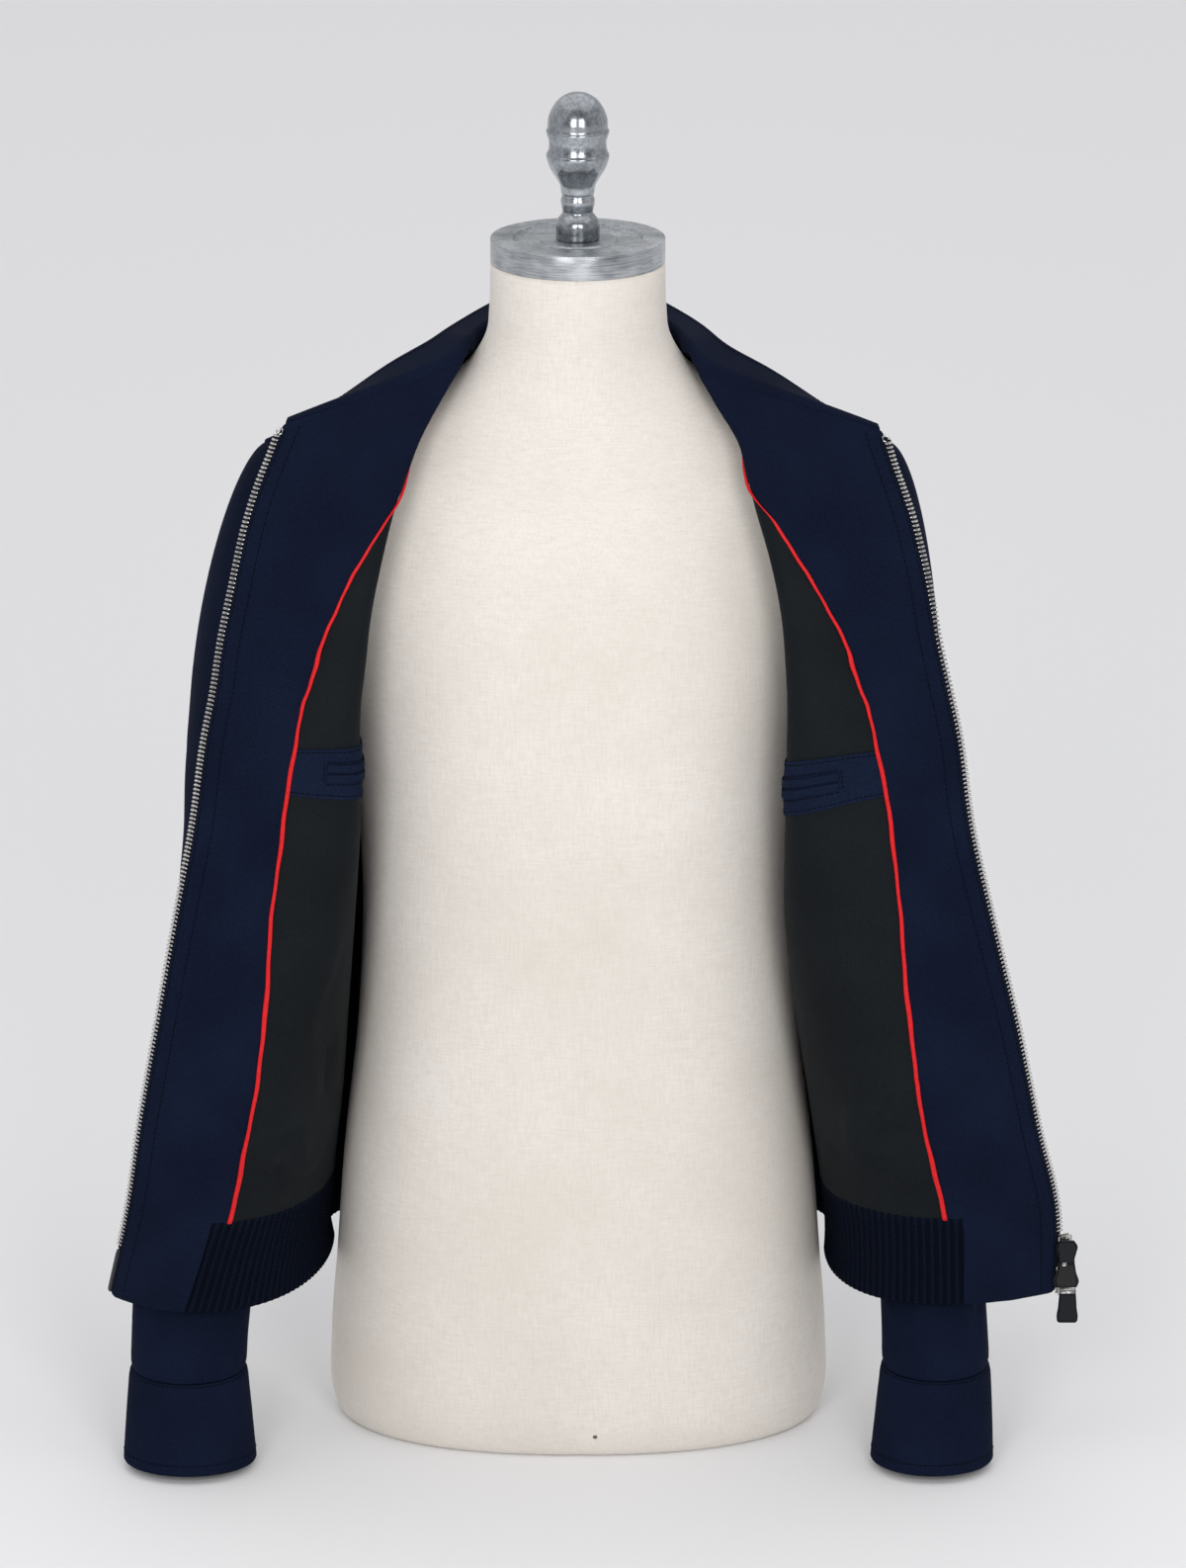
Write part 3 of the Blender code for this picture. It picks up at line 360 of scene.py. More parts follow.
def add_piece(name, shape, materials, solid=None, body="garment_on_form", chart=None, finish=None,
              smooth=True):
    """Put a shape in the scene, faces outwards, riding on a body and standing for the frame's solid
    if one is named. A quad whose last two or first two corners are one point is a triangle. chart
    gives each corner's place on the flat cloth in metres, and finish each face's material."""
    points, quads = shape
    if enclosed(points, quads) < 0:
        quads = quads[:, ::-1]
        chart = None if chart is None else chart[:, ::-1]
    three = quads[:, 2] == quads[:, 3]
    three_first = (quads[:, 0] == quads[:, 1]) & ~three
    sizes = np.where(three | three_first, 3, 4)
    keep = np.ones(quads.shape, bool)
    keep[three, 3] = False
    keep[three_first, 1] = False
    mesh = bpy.data.meshes.new(name)
    mesh.vertices.add(len(points))
    mesh.vertices.foreach_set("co", np.asarray(points, np.float32).ravel())
    mesh.loops.add(int(sizes.sum()))
    mesh.loops.foreach_set("vertex_index", quads[keep].astype(np.int32))
    mesh.polygons.add(len(quads))
    mesh.polygons.foreach_set("loop_start", running(sizes)[:-1].astype(np.int32))
    mesh.polygons.foreach_set("use_smooth", np.full(len(quads), smooth))
    for surface in materials:
        mesh.materials.append(surface)
    if finish is not None:
        mesh.polygons.foreach_set("material_index", np.asarray(finish, np.int32))
    if chart is not None:
        layer = mesh.uv_layers.new(name="cloth")
        layer.uv.foreach_set("vector", chart[keep].astype(np.float32).ravel())
    mesh.update(calc_edges=True)
    mesh.validate()
    made = stand(name, mesh)
    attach(made, body)
    if solid is not None:
        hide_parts(solid)
    return made


def wall_quads(keep, wrap):
    """Quads of a closed wall over the kept cells of a grid: the top grid, the bottom grid after
    it, and the rim wherever a kept cell meets none. Beside them, the same corners as places in a
    chart that has one more column if wrapped, and which quads are of the bottom."""
    rows, wide = np.add(keep.shape, 1)
    columns = wide - 1 if wrap else wide
    above, below = np.pad(keep, ((1, 0), (0, 0))), np.pad(keep, ((0, 1), (0, 0)))
    left, right = np.pad(keep, ((0, 0), (1, 0))), np.pad(keep, ((0, 0), (0, 1)))
    if wrap:
        left = right = np.ones_like(left)
    r, c = np.nonzero(keep)
    faces = [((r, c, 0), (r, c + 1, 0), (r + 1, c + 1, 0), (r + 1, c, 0)),
             ((r, c, 1), (r + 1, c, 1), (r + 1, c + 1, 1), (r, c + 1, 1))]
    for rim, forward, sideways in ((below & ~above, 0, 1), (above & ~below, 1, 1),
                                   (right & ~left, 1, 0), (left & ~right, 0, 0)):
        r, c = np.nonzero(rim)
        start, end = ((r, c), (r + 1 - sideways, c + sideways))
        if not forward:
            start, end = end, start
        faces.append(((*start, 0), (*end, 0), (*end, 1), (*start, 1)))
    quads, places, bottom = [], [], []
    for number, corners in enumerate(faces):
        quads.append(np.stack([(layer * rows + a) * columns + b % columns for a, b, layer in corners], -1))
        places.append(np.stack([a * wide + b for a, b, _ in corners], -1))
        bottom.append(np.full(len(quads[-1]), number == 1))
    return np.concatenate(quads), np.concatenate(places), np.concatenate(bottom)


def steps_in(keep, wrap):
    """How many steps each grid point lies inside the kept cells: 0 on their rim, 1, or 2 and more."""
    side = ((1, 1), (0, 0))
    cells = np.pad(np.concatenate([keep, keep[:, :1]], 1), side) if wrap else np.pad(keep, 1)
    if wrap:
        cells = np.concatenate([cells[:, -2:-1], cells[:, :-1]], axis=1)
    inside = cells[:-1, :-1] & cells[1:, :-1] & cells[:-1, 1:] & cells[1:, 1:]
    wider = np.pad(inside, ((1, 1), (1, 1)), mode="wrap" if wrap else "constant")
    wider[[0, -1]] = False
    deep = np.ones_like(inside)
    for dr in range(3):
        for dc in range(3):
            deep &= wider[dr:dr + inside.shape[0], dc:dc + inside.shape[1]]
    return inside.astype(int) + deep


def sew(name, solid, grid, normals, low, high, materials, held=None,
        wrap=False, chart=None, body="garment_on_form", rim=EDGE_RIM, keep=None):
    """A closed wall of cloth from low to high along the grid's normals, over its kept cells, with
    its rim rounded: the wall is rim times as thick on its border and full two steps in. The face
    at high takes the first material and the one at low the last. If it is held by something, its
    longest row and its longest column are measured, but nothing is done with them."""
    whole = np.concatenate([grid, grid[:, :1]], axis=1) if wrap else grid
    keep = np.ones(np.subtract(whole.shape[:2], 1), bool) if keep is None else keep
    share = np.array([rim, 0.1 + (1 + rim) / 2, 1.0])[steps_in(keep, wrap)]
    middle, half = (low + high) / 2, (high - low) / 2
    faces = [grid + normals * (middle + side * half * share)[..., None] for side in (1, -1)]
    quads, places, below = wall_quads(keep, wrap)
    if chart is None:
        across, down = running(steps_along(whole, 1).mean(axis=0)), running(steps_along(whole).mean(axis=1))
        chart = points_of(across[None, :], down[:, None])
    used, quads = np.unique(quads, return_inverse=True)
    points = np.stack(faces).reshape(-1, 3)[used]
    piece = add_piece(name, (points, quads.reshape(-1, 4)), materials, solid, body,
                      chart.reshape(-1, 2)[places], below * (len(materials) - 1))
    if held is not None:
        across, along = steps_along(whole, 1).sum(axis=1).max(), steps_along(whole).sum(axis=0).max()


# ----------------------------------------------------------------------
# Camera. The picture is taken from about 5 m with a long lens, from a little above the collar
# and almost straight in front, so the form's cap shows its top face as a flat ellipse.
PHOTO_HEIGHT_PIXELS = 1586
FOCAL_LENGTH_PIXELS = 7150
SENSOR = 36.0
CAMERA_DISTANCE, CAMERA_RANGE = 5.0, 60
CAMERA_ELEVATION = math.radians(17.5)
CAMERA_TARGET = Vector((0.0105, 0.0, 0.469))

view_line = Vector((0, -math.cos(CAMERA_ELEVATION), math.sin(CAMERA_ELEVATION)))
optics = bpy.data.cameras.new("camera")
optics.sensor_width = SENSOR
optics.lens = FOCAL_LENGTH_PIXELS / PHOTO_HEIGHT_PIXELS * SENSOR
optics.clip_end = CAMERA_RANGE
bpy.context.scene.camera = stand("camera", optics, CAMERA_TARGET + view_line * CAMERA_DISTANCE, -view_line)
bpy.context.scene.view_settings.view_transform = "Standard"


# ----------------------------------------------------------------------
# Studio. A pale floor that runs out of the view, a pale surround that is dimmer behind the
# camera, a large overhead light, and two softboxes beside the camera, which give the polished
# metal its two upright highlights.
FLOOR_COLOUR, FLOOR_SIZE = "#eeeeef", 60.0
SURROUND_BRIGHT, SURROUND_DIM, SURROUND_STRENGTH = "#e2e2e4", "#727276", 0.85
DIM_FROM, DIM_TO = 0.35, 0.95
SOFTBOX_OUT, SOFTBOX_AHEAD, SOFTBOX_HEIGHT = 1.0, -3.6, 1.8
SOFTBOX_SIZE, SOFTBOX_WATTS = (1.2, 2.0), 46.0
SOFTBOX_AIM = Vector((0, 0, 0.5))
OVERHEAD_BACK, OVERHEAD_HEIGHT, OVERHEAD_SIZE, OVERHEAD_WATTS = 3.0, 8.0, 16.0, 310.0

paper, _ = start_material("matt_backdrop_paper", Base_Color=linear(FLOOR_COLOUR), Roughness=0.95,
                          Specular_IOR_Level=0.1)
floor_mesh = bpy.data.meshes.new("floor")
half = FLOOR_SIZE / 2
floor_mesh.from_pydata([(-half, -half, 0), (half, -half, 0), (half, half, 0), (-half, half, 0)], [],
                       [(0, 1, 2, 3)])
floor_mesh.materials.append(paper)
stand("floor", floor_mesh)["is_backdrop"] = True

surround = bpy.data.worlds.new("surround")
surround.use_nodes = True
tree = surround.node_tree
ahead = dot(tree, add(tree, "ShaderNodeTexCoord").outputs["Generated"], (0, -1, 0))
dim = ramp(tree, ahead, DIM_FROM, DIM_TO, shape="SMOOTHSTEP")
background = tree.nodes["Background"]
background.inputs["Strength"].default_value = SURROUND_STRENGTH
tree.links.new(blend(tree, dim, SURROUND_BRIGHT, SURROUND_DIM), background.inputs["Color"])
bpy.context.scene.world = surround

overhead = bpy.data.lights.new("overhead", "AREA")
overhead.size = OVERHEAD_SIZE
overhead.energy = OVERHEAD_WATTS
stand("overhead", overhead, (0, OVERHEAD_BACK, OVERHEAD_HEIGHT))

for name, sign in (("softbox_right", -1), ("softbox_left", 1)):
    box = bpy.data.lights.new(name, "AREA")
    box.shape = "RECTANGLE"
    box.size, box.size_y = SOFTBOX_SIZE
    box.energy = SOFTBOX_WATTS
    place = Vector((sign * SOFTBOX_OUT, SOFTBOX_AHEAD, SOFTBOX_HEIGHT))
    stand(name, box, place, SOFTBOX_AIM - place)


# ----------------------------------------------------------------------
# Torso of the dress form. A padded men's torso covered in unbleached linen canvas, with a seam
# down the centre front, the centre back and each side, and folded under at the flat base. It is
# smooth, and a small tack holds the cover near the base.
# Height, half width, half depth, and roundness of the section (2 is an ellipse).
FORM = (
    (0.0000, 0.1735, 0.1070, 2.3), (0.0120, 0.1775, 0.1120, 2.3), (0.0600, 0.1785, 0.1160, 2.3),
    (0.1200, 0.1740, 0.1160, 2.3), (0.2000, 0.1680, 0.1110, 2.3), (0.3000, 0.1570, 0.1040, 2.3),
    (0.4000, 0.1530, 0.1050, 2.3), (0.5000, 0.1600, 0.1130, 2.3), (0.5800, 0.1720, 0.1150, 2.3),
    (0.6400, 0.1850, 0.1060, 2.3), (0.6800, 0.1890, 0.0930, 2.2), (0.7050, 0.1830, 0.0800, 2.2),
    (0.7200, 0.1690, 0.0710, 2.1), (0.7330, 0.1490, 0.0650, 2.1), (0.7480, 0.1220, 0.0600, 2.1),
    (0.7625, 0.0950, 0.0575, 2.0), (0.7750, 0.0780, 0.0580, 2.0), (0.7850, 0.0700, 0.0590, 2.0),
    (0.7980, 0.0635, 0.0600, 2.0), (0.8150, 0.0615, 0.0610, 2.0), (0.8480, 0.0605, 0.0605, 2.0),
)
FORM_COLUMNS = 152
FORM_ROW_HEIGHT = 0.005
SEAM_WIDTH, SEAM_DEPTH = 0.0010, 0.0006
# Share of the full section and height at the base, where the cover is folded under, and how
# far above the fold the even rows start.
BASE_FOLD, FIRST_LEVEL = ((0.960, 0.0), (0.985, 0.0006), (0.996, 0.0025)), 0.004
# Columns beside each seam, as angles from it.
SEAM_SIDES = (-0.012, -0.006, -0.002, 0.0, 0.002, 0.006, 0.012)
LINEN_LIGHT, LINEN_DARK, LINEN_THREAD = "#e3ddd6", "#d5cec4", 0.0011
TACK_PLACE, TACK_RADIUS, TACK_METAL = (0.012, 0.018), 0.0016, "#6d6350"
# Radius and height of the tack's head, as shares of its radius and of half of that.
TACK_PROFILE, TACK_SIDES = ((0.25, 1.0), (0.7, 0.72), (1.0, 0.0)), 12

# Linen canvas is a plain weave of uneven slubby yarn, matt and slightly warm. Its real thread is
# 0.5 mm and is drawn twice as coarse, so that the weave shows.
linen, tree = start_material("woven_linen_canvas", Roughness=0.9, Specular_IOR_Level=0.2,
                             Sheen_Weight=0.12)
place = in_solid(tree)
yarns = [noise(tree, stretched(tree, place, [part / LINEN_THREAD for part in parts]), 0.9, 1.0)
         for parts in ((1, 1, 0.12), (0.12, 0.12, 1))]
weave = combine(tree, "ADD", *yarns)
shade = combine(tree, "MULTIPLY", weave, noise(tree, place, 7.0, 3.0))
paint(tree, ramp(tree, shade, 0.25, 0.75), LINEN_DARK, LINEN_LIGHT)
emboss(tree, weave, 0.35, 0.0004)


def form_rings(z, angles, shrink):
    """Level superellipses of the form at heights z, shrunk as told and pressed in along its four
    seams by a bell of the distance from them."""
    half_width, half_depth, roundness = np.moveaxis(at_height(FORM, z), -1, 0)[..., None]
    off_seam = np.abs((angles + math.pi / 4) % (math.pi / 2) - math.pi / 4) * half_depth
    pressed = shrink[:, None] * (1 - SEAM_DEPTH / half_depth * np.exp(-(off_seam / SEAM_WIDTH) ** 2))
    return at_level(oval(half_width * pressed, half_depth * pressed, angles, roundness), z)


fold_share, fold_height = np.array(BASE_FOLD).T
levels = np.linspace(fold_height[-1] + FIRST_LEVEL, FORM[-1][0], int(FORM[-1][0] / FORM_ROW_HEIGHT))
by_seams = np.add.outer(full_turn(4), SEAM_SIDES) % (2 * math.pi)
around = np.unique(np.round(np.append(full_turn(FORM_COLUMNS), by_seams), 6))
rings = form_rings(np.append(fold_height, levels), around, np.append(fold_share, np.ones(len(levels))))
add_piece("form_canvas", closed_rings(rings), [linen], "form_torso")

tack_x, tack_z = TACK_PLACE
half_width, half_depth, roundness = at_height(FORM, tack_z)
tack_y = -half_depth * (1 - (tack_x / half_width) ** roundness) ** (1 / roundness)
radius, rise = TACK_RADIUS * np.array(TACK_PROFILE).T[..., None]
line = np.array([tack_x, tack_y, tack_z]) - rise / 2 * AXES[1]
iron, _ = start_material("blued_iron_tack", Base_Color=linear(TACK_METAL), Metallic=0.8, Roughness=0.45)
tack = tube(line, AXES[0], AXES[2], radius[..., None] * oval(1, 1, full_turn(TACK_SIDES)))
add_piece("form_tack", tack, [iron])


# ----------------------------------------------------------------------
# Neck cap and finial. Cast zinc alloy, turned on a lathe: the cap's side is brushed, its top is
# left with the fine grain of the casting and has two low steps, and the finial is polished. The
# finial screws into the cap.
CAP_TOP = 0.865
CAP_RADIUS = 0.0605
CAP_PROFILE = (
    (0.0150, -0.0010), (0.0265, -0.0010), (0.0275, -0.0022), (0.0440, -0.0022), (0.0455, 0.0000),
    (CAP_RADIUS, 0.0000), (CAP_RADIUS, -0.0168), (0.0560, -0.0168),
)
CORNER_RADIUS = 0.0005
FINIAL_FOOT = CAP_TOP - 0.0010
# Radius and height above the foot, from the top down.
FINIAL_PROFILE = (
    (0.0020, 0.1027), (0.0065, 0.1018), (0.0116, 0.0990), (0.0155, 0.0952), (0.0188, 0.0895),
    (0.0206, 0.0838), (0.0209, 0.0780), (0.0218, 0.0758), (0.0209, 0.0724), (0.0199, 0.0686),
    (0.0201, 0.0639), (0.0209, 0.0610), (0.0218, 0.0590), (0.0212, 0.0554), (0.0192, 0.0497),
    (0.0157, 0.0440), (0.0129, 0.0392), (0.0120, 0.0364), (0.0114, 0.0326), (0.0109, 0.0307),
    (0.0118, 0.0269), (0.0109, 0.0212), (0.0107, 0.0184), (0.0135, 0.0146), (0.0148, 0.0118),
    (0.0151, 0.0080), (0.0151, 0.0010), (0.0145, 0.0003),
)
LATHE_COLUMNS = 96
FINIAL_ROWS = 170
ZINC_LIGHT, ZINC_DARK, POLISHED_ZINC = "#c2c5c8", "#7d8185", "#b4b9be"
CASTING_GRAIN, BRUSH_LINE = 0.0012, 0.00045
# Faces farther out than this share of the cap's radius are on its side.
SIDE_SHARE = 0.97


def rounded(profile, radius, steps=4):
    """An outline with each inner corner replaced by a parabola that starts and ends radius away."""
    line = np.asarray(profile, float)
    before, corner, after = line[:-2], line[1:-1], line[2:]
    start = corner + unit(before - corner) * radius
    end = corner + unit(after - corner) * radius
    f = np.linspace(0, 1, steps)[None, :, None]
    arcs = (1 - f) ** 2 * start[:, None] + 2 * f * (1 - f) * corner[:, None] + f ** 2 * end[:, None]
    return np.concatenate([line[:1], arcs.reshape(-1, 2), line[-1:]])


def cast_metal(name, light, roughness, grain, stretch):
    """Cast zinc: a noise of grain size, stretched into brush lines, varies tone, gloss and height."""
    made, tree = start_material(name, Metallic=1.0)
    place = in_solid(tree)
    grains = noise(tree, stretched(tree, place, stretch), 0.5 / grain, 4.0, Roughness=0.6)
    both = combine(tree, "ADD", grains, noise(tree, place, 40.0, 2.0))
    paint(tree, ramp(tree, both, 0.75, 1.25), ZINC_DARK, light)
    connect(tree, ramp(tree, grains, 0.3, 0.7, roughness * 0.8, roughness * 1.25), "Roughness")
    emboss(tree, grains, 0.25, 0.0001)
    return made


cast_top = cast_metal("sand_cast_zinc", ZINC_LIGHT, 0.42, CASTING_GRAIN, (1, 1, 1))
brushed_side = cast_metal("brushed_zinc", ZINC_LIGHT, 0.30, BRUSH_LINE, (0.06, 0.06, 1))
polished = cast_metal("polished_zinc", POLISHED_ZINC, 0.20, CASTING_GRAIN, (1, 1, 1))

cap = turned(rounded(CAP_PROFILE, CORNER_RADIUS), CAP_TOP, LATHE_COLUMNS)
face_middle = cap[0][cap[1]].mean(axis=1)
on_side = np.linalg.norm(face_middle[:, :2], axis=1) > CAP_RADIUS * SIDE_SHARE
add_piece("cap_casting", cap, [cast_top, brushed_side], "neck_cap",
          finish=on_side & (face_middle[:, 2] < CAP_TOP - CORNER_RADIUS))
finial_line = along_rows(FINIAL_PROFILE, np.linspace(0, len(FINIAL_PROFILE) - 1, FINIAL_ROWS))
add_piece("finial_turning", turned(finial_line, FINIAL_FOOT, LATHE_COLUMNS // 2), [polished],
          "finial")


# ----------------------------------------------------------------------
# Back of the blouson. One panel of navy wool twill from the ribbed hem to the neckline and the
# shoulder seams, lined in thin dark cloth. It hangs from the shoulders, blouses a little over
# the rib, and is creased at the armholes and above the rib.
WOOL, FACING, LINING, COLLAR = 0.0017, 0.0015, 0.0010, 0.0030
LAYER, SEAM_LAP = 0.00025, 0.0003
HEM_Z, RIB_SEAM_Z, ARMPIT_Z = 0.117, 0.185, 0.572
NECK_SIDE = np.array([0.0735, 0.0, 0.783])
NECK_BACK_DEPTH, NECK_BACK_RISE = 0.066, 0.012
ARMHOLE_X, ARMHOLE_X_SWING = 0.204, 0.014
ARMHOLE_FRONT_HOLLOW, ARMHOLE_BACK_HOLLOW = 0.017, 0.004
ARMHOLE_Y, ARMHOLE_FRONT_DEPTH, ARMHOLE_BACK_DEPTH = 0.010, 0.060, 0.058
ARMHOLE_Z, ARMHOLE_HALF_HEIGHT = 0.645, 0.073
# Height, side seam's x and y, and depth of the centre back.
BODY = (
    (0.117, 0.1860, 0.040, 0.128), (0.185, 0.1870, 0.040, 0.130), (0.225, 0.1885, 0.040, 0.137),
    (0.330, 0.1900, 0.036, 0.136), (0.410, 0.1900, 0.032, 0.133), (0.500, 0.1900, 0.028, 0.132),
    (0.572, 0.1900, 0.020, 0.134),
)
BODY_ROUNDNESS = 2.4
BACK_NECK_SHARE = 1 / 3
# Tangents of the back's columns above the armpit: as they leave its level section in the middle
# and at the side, and as they arrive at the centre of the neck, the shoulder and its tip.
LEAVE_MIDDLE, LEAVE_SIDE = np.array([[0, 0, 0.28], [0.004, 0.17, 0.03]])
ARRIVE_NECK, ARRIVE_SHOULDER, ARRIVE_TIP = np.array([[0, -0.05, 0.12], [0, -0.18, 0.05], [0.02, -0.17, 0.05]])
BACK_COLUMNS, BACK_ROWS_LOW, BACK_ROWS_HIGH = (121, 0.001), (84, 0.002), (64, 0.0025)
NAVY, NAVY_LIGHT, LINING_BLACK, LINING_LIGHT = "#090f1f", "#131b30", "#101316", "#1a1e21"
TWILL_PITCH = 0.0014
TWILL_ANGLE = math.radians(55)
FIBRE = 0.0022
LINING_THREAD = 0.0012
# Creases of half the back, on its outer face, from one end to the other: distance out from the
# centre and height of both ends, sideways bow, half width and height, in metres. The left half
# has the same ones, shifted a little inwards and up.
BACK_JITTER, LEFT_SHIFT = 0.5, (0.004, 0.012)
BACK_CREASES = (
    (0.176, 0.560, 0.120, 0.500, 0.006, 0.0090, 0.0022),
    (0.182, 0.530, 0.105, 0.455, -0.006, 0.0110, -0.0026),
    (0.170, 0.470, 0.090, 0.400, 0.008, 0.0120, 0.0020),
    (0.030, 0.600, 0.045, 0.330, 0.004, 0.0170, 0.0022),
    (0.085, 0.640, 0.098, 0.360, -0.005, 0.0150, -0.0020),
    (0.015, 0.224, 0.120, 0.206, 0.006, 0.0080, 0.0026),
    (0.060, 0.248, 0.180, 0.220, -0.006, 0.0090, -0.0024),
    (0.120, 0.208, 0.183, 0.236, 0.003, 0.0070, 0.0022),
    (0.005, 0.290, 0.075, 0.255, 0.005, 0.0120, -0.0018),
    (0.150, 0.330, 0.178, 0.255, 0.004, 0.0090, 0.0020),
)


def woven(name, light, dark, pitch, angle, twill, roughness, sheen, bump):
    """Woven cloth on its flat chart: sine lines of the thread's pitch at an angle, and a second
    set square to them for the part that isn't twill, both broken up by fibre noise."""
    made, tree = start_material(name, Roughness=roughness, Sheen_Weight=sheen, Sheen_Roughness=0.45,
                                Specular_IOR_Level=0.05, Sheen_Tint=linear(light))
    place = on_cloth(tree)
    waves = []
    for turn in (angle, angle + math.pi / 2):
        way = (2 * math.pi / pitch * math.cos(turn), 2 * math.pi / pitch * math.sin(turn), 0)
        waves.append(combine(tree, "SINE", dot(tree, place, way)))
    weave = combine(tree, "ADD", waves[0], combine(tree, "MULTIPLY", waves[1], 1 - twill))
    fuzz = noise(tree, place, 1 / FIBRE, 3.0, Roughness=0.7)
    height = combine(tree, "MULTIPLY_ADD", weave, 0.18, fuzz)
    shade = combine(tree, "MULTIPLY_ADD", noise(tree, place, 14.0, 3.0), 0.9, height)
    paint(tree, ramp(tree, shade, 0.6, 1.3), dark, light)
    emboss(tree, height, bump, 0.0005)
    return made


# Navy wool gabardine is a steep twill of fine combed yarn, with a soft matt face and a slight
# bloom at grazing angles. Its real twill line is 0.6 mm and is drawn at 1.4 mm, so that it shows.
WOOL_LOOK = (TWILL_PITCH, TWILL_ANGLE, 0.85, 0.85, 0.03, 0.35)
navy_wool = woven("navy_wool_gabardine", NAVY_LIGHT, NAVY, *WOOL_LOOK)
# The lining is a thin plain-woven polyester, nearly black with a green cast and a dull shine.
LINING_LOOK = (LINING_THREAD, 0.0, 0.4, 0.6, 0.02, 0.25)
lining_cloth = woven("plain_woven_lining", LINING_LIGHT, LINING_BLACK, *LINING_LOOK)


def armhole(angle):
    """Armhole seam of the side at +X: 0 is the shoulder tip, a quarter turn the front, a half
    turn the armpit. An ellipse in the side's plane, hollowed towards the body front and back."""
    angle = np.asarray(angle, float)
    swing, sweep = np.cos(angle), np.sin(angle)
    hollow = np.where(sweep > 0, ARMHOLE_FRONT_HOLLOW, ARMHOLE_BACK_HOLLOW)
    depth = np.where(sweep > 0, ARMHOLE_FRONT_DEPTH, ARMHOLE_BACK_DEPTH)
    return points_of(ARMHOLE_X + ARMHOLE_X_SWING * swing - hollow * sweep ** 2,
                     ARMHOLE_Y * (1 - swing) - depth * sweep, ARMHOLE_Z + ARMHOLE_HALF_HEIGHT * swing)


def shoulder(share):
    """Shoulder seam of the side at +X, straight from the neck (0) to the tip (1)."""
    return between(NECK_SIDE, armhole(0.0), np.asarray(share)[..., None])


def back_section(z, turn):
    """Points of the back at heights z: a superellipse from the centre (turn 0) to the side (1)."""
    side_x, side_y, back_y = np.moveaxis(at_height(BODY, z), -1, 0)
    angle, power = turn * math.pi / 2, 2 / BODY_ROUNDNESS
    return points_of(side_x * np.sin(angle) ** power,
                     side_y + (back_y - side_y) * np.maximum(np.cos(angle), 0) ** power, z)


def neckline_back(turn):
    """Back neckline, a quarter ellipse that rises to the centre back (turn 0)."""
    angle = turn * math.pi / 2
    return points_of(NECK_SIDE[0] * np.sin(angle), NECK_BACK_DEPTH * np.cos(angle),
                     NECK_SIDE[2] + NECK_BACK_RISE * np.cos(angle) ** 2)


def back_surface(low_z, rise, turns):
    """Back panel: level sections up to the armpits, then a cubic from each point of that section
    up and over the shoulder blade to the neckline or the shoulder seam. Towards the side they
    are drawn over to the armhole seam."""
    turn = np.abs(turns)[None, :]
    lower = back_section(low_z[:, None], turn)
    start = back_section(ARMPIT_Z, turn)
    side = np.clip(turn / BACK_NECK_SHARE, 0, 1)[..., None]
    over_neck = turn[..., None] <= BACK_NECK_SHARE
    end = np.where(over_neck, neckline_back(side[..., 0]),
                   shoulder(np.clip((turn - BACK_NECK_SHARE) / (1 - BACK_NECK_SHARE), 0, 1)))
    edge = (np.maximum(0, (turn - 0.5) / 0.5) ** 3)[..., None]
    leave = between(LEAVE_MIDDLE, LEAVE_SIDE, edge)
    arrive = between(between(ARRIVE_NECK, ARRIVE_SHOULDER, side), ARRIVE_TIP, edge)
    upper = cubic(start, end, leave, arrive, rise[:, None, None])
    height = np.clip((upper[:, -1:, 2] - ARMHOLE_Z) / ARMHOLE_HALF_HEIGHT, -1, 1)
    upper[..., :2] += edge * (armhole(-np.arccos(height)) - upper[:, -1:])[..., :2]
    return np.concatenate([lower, upper]) * points_of(np.sign(turns), 1, 1)


share = edge_steps(*BACK_ROWS_LOW)
low_z = RIB_SEAM_Z + (ARMPIT_Z - RIB_SEAM_Z) * share[share < 1]
rise = 1 - edge_steps(*BACK_ROWS_HIGH)[:-2][::-1]
rise = np.concatenate([[0.0], rise[rise > 0.002]])
grid = back_surface(low_z, rise, 2 * edge_steps(*BACK_COLUMNS) - 1)
grid[..., 1] -= SEAM_LAP
normals = surface_normals(grid)
normals = normals * np.sign(np.sum(normals[..., 1]))
on_left = grid[..., 0] > 0
relief = creases(np.abs(grid[..., 0]) + LEFT_SHIFT[0] * on_left, grid[..., 2] - LEFT_SHIFT[1] * on_left,
                 BACK_CREASES, BACK_JITTER)
grid = grid + normals * relief[..., None]
sew("back_wool", "back", grid, normals, 0.0, WOOL, [navy_wool, lining_cloth], "draped")


# ----------------------------------------------------------------------
# Fronts. Each is four layers: the outer front of wool, and on its inner side, which shows where
# the front is folded back, a wide wool facing along the zip, the lining of the rest, and a red
# piping in the seam between them. Wool and facing go on below as the tab beside the rib.

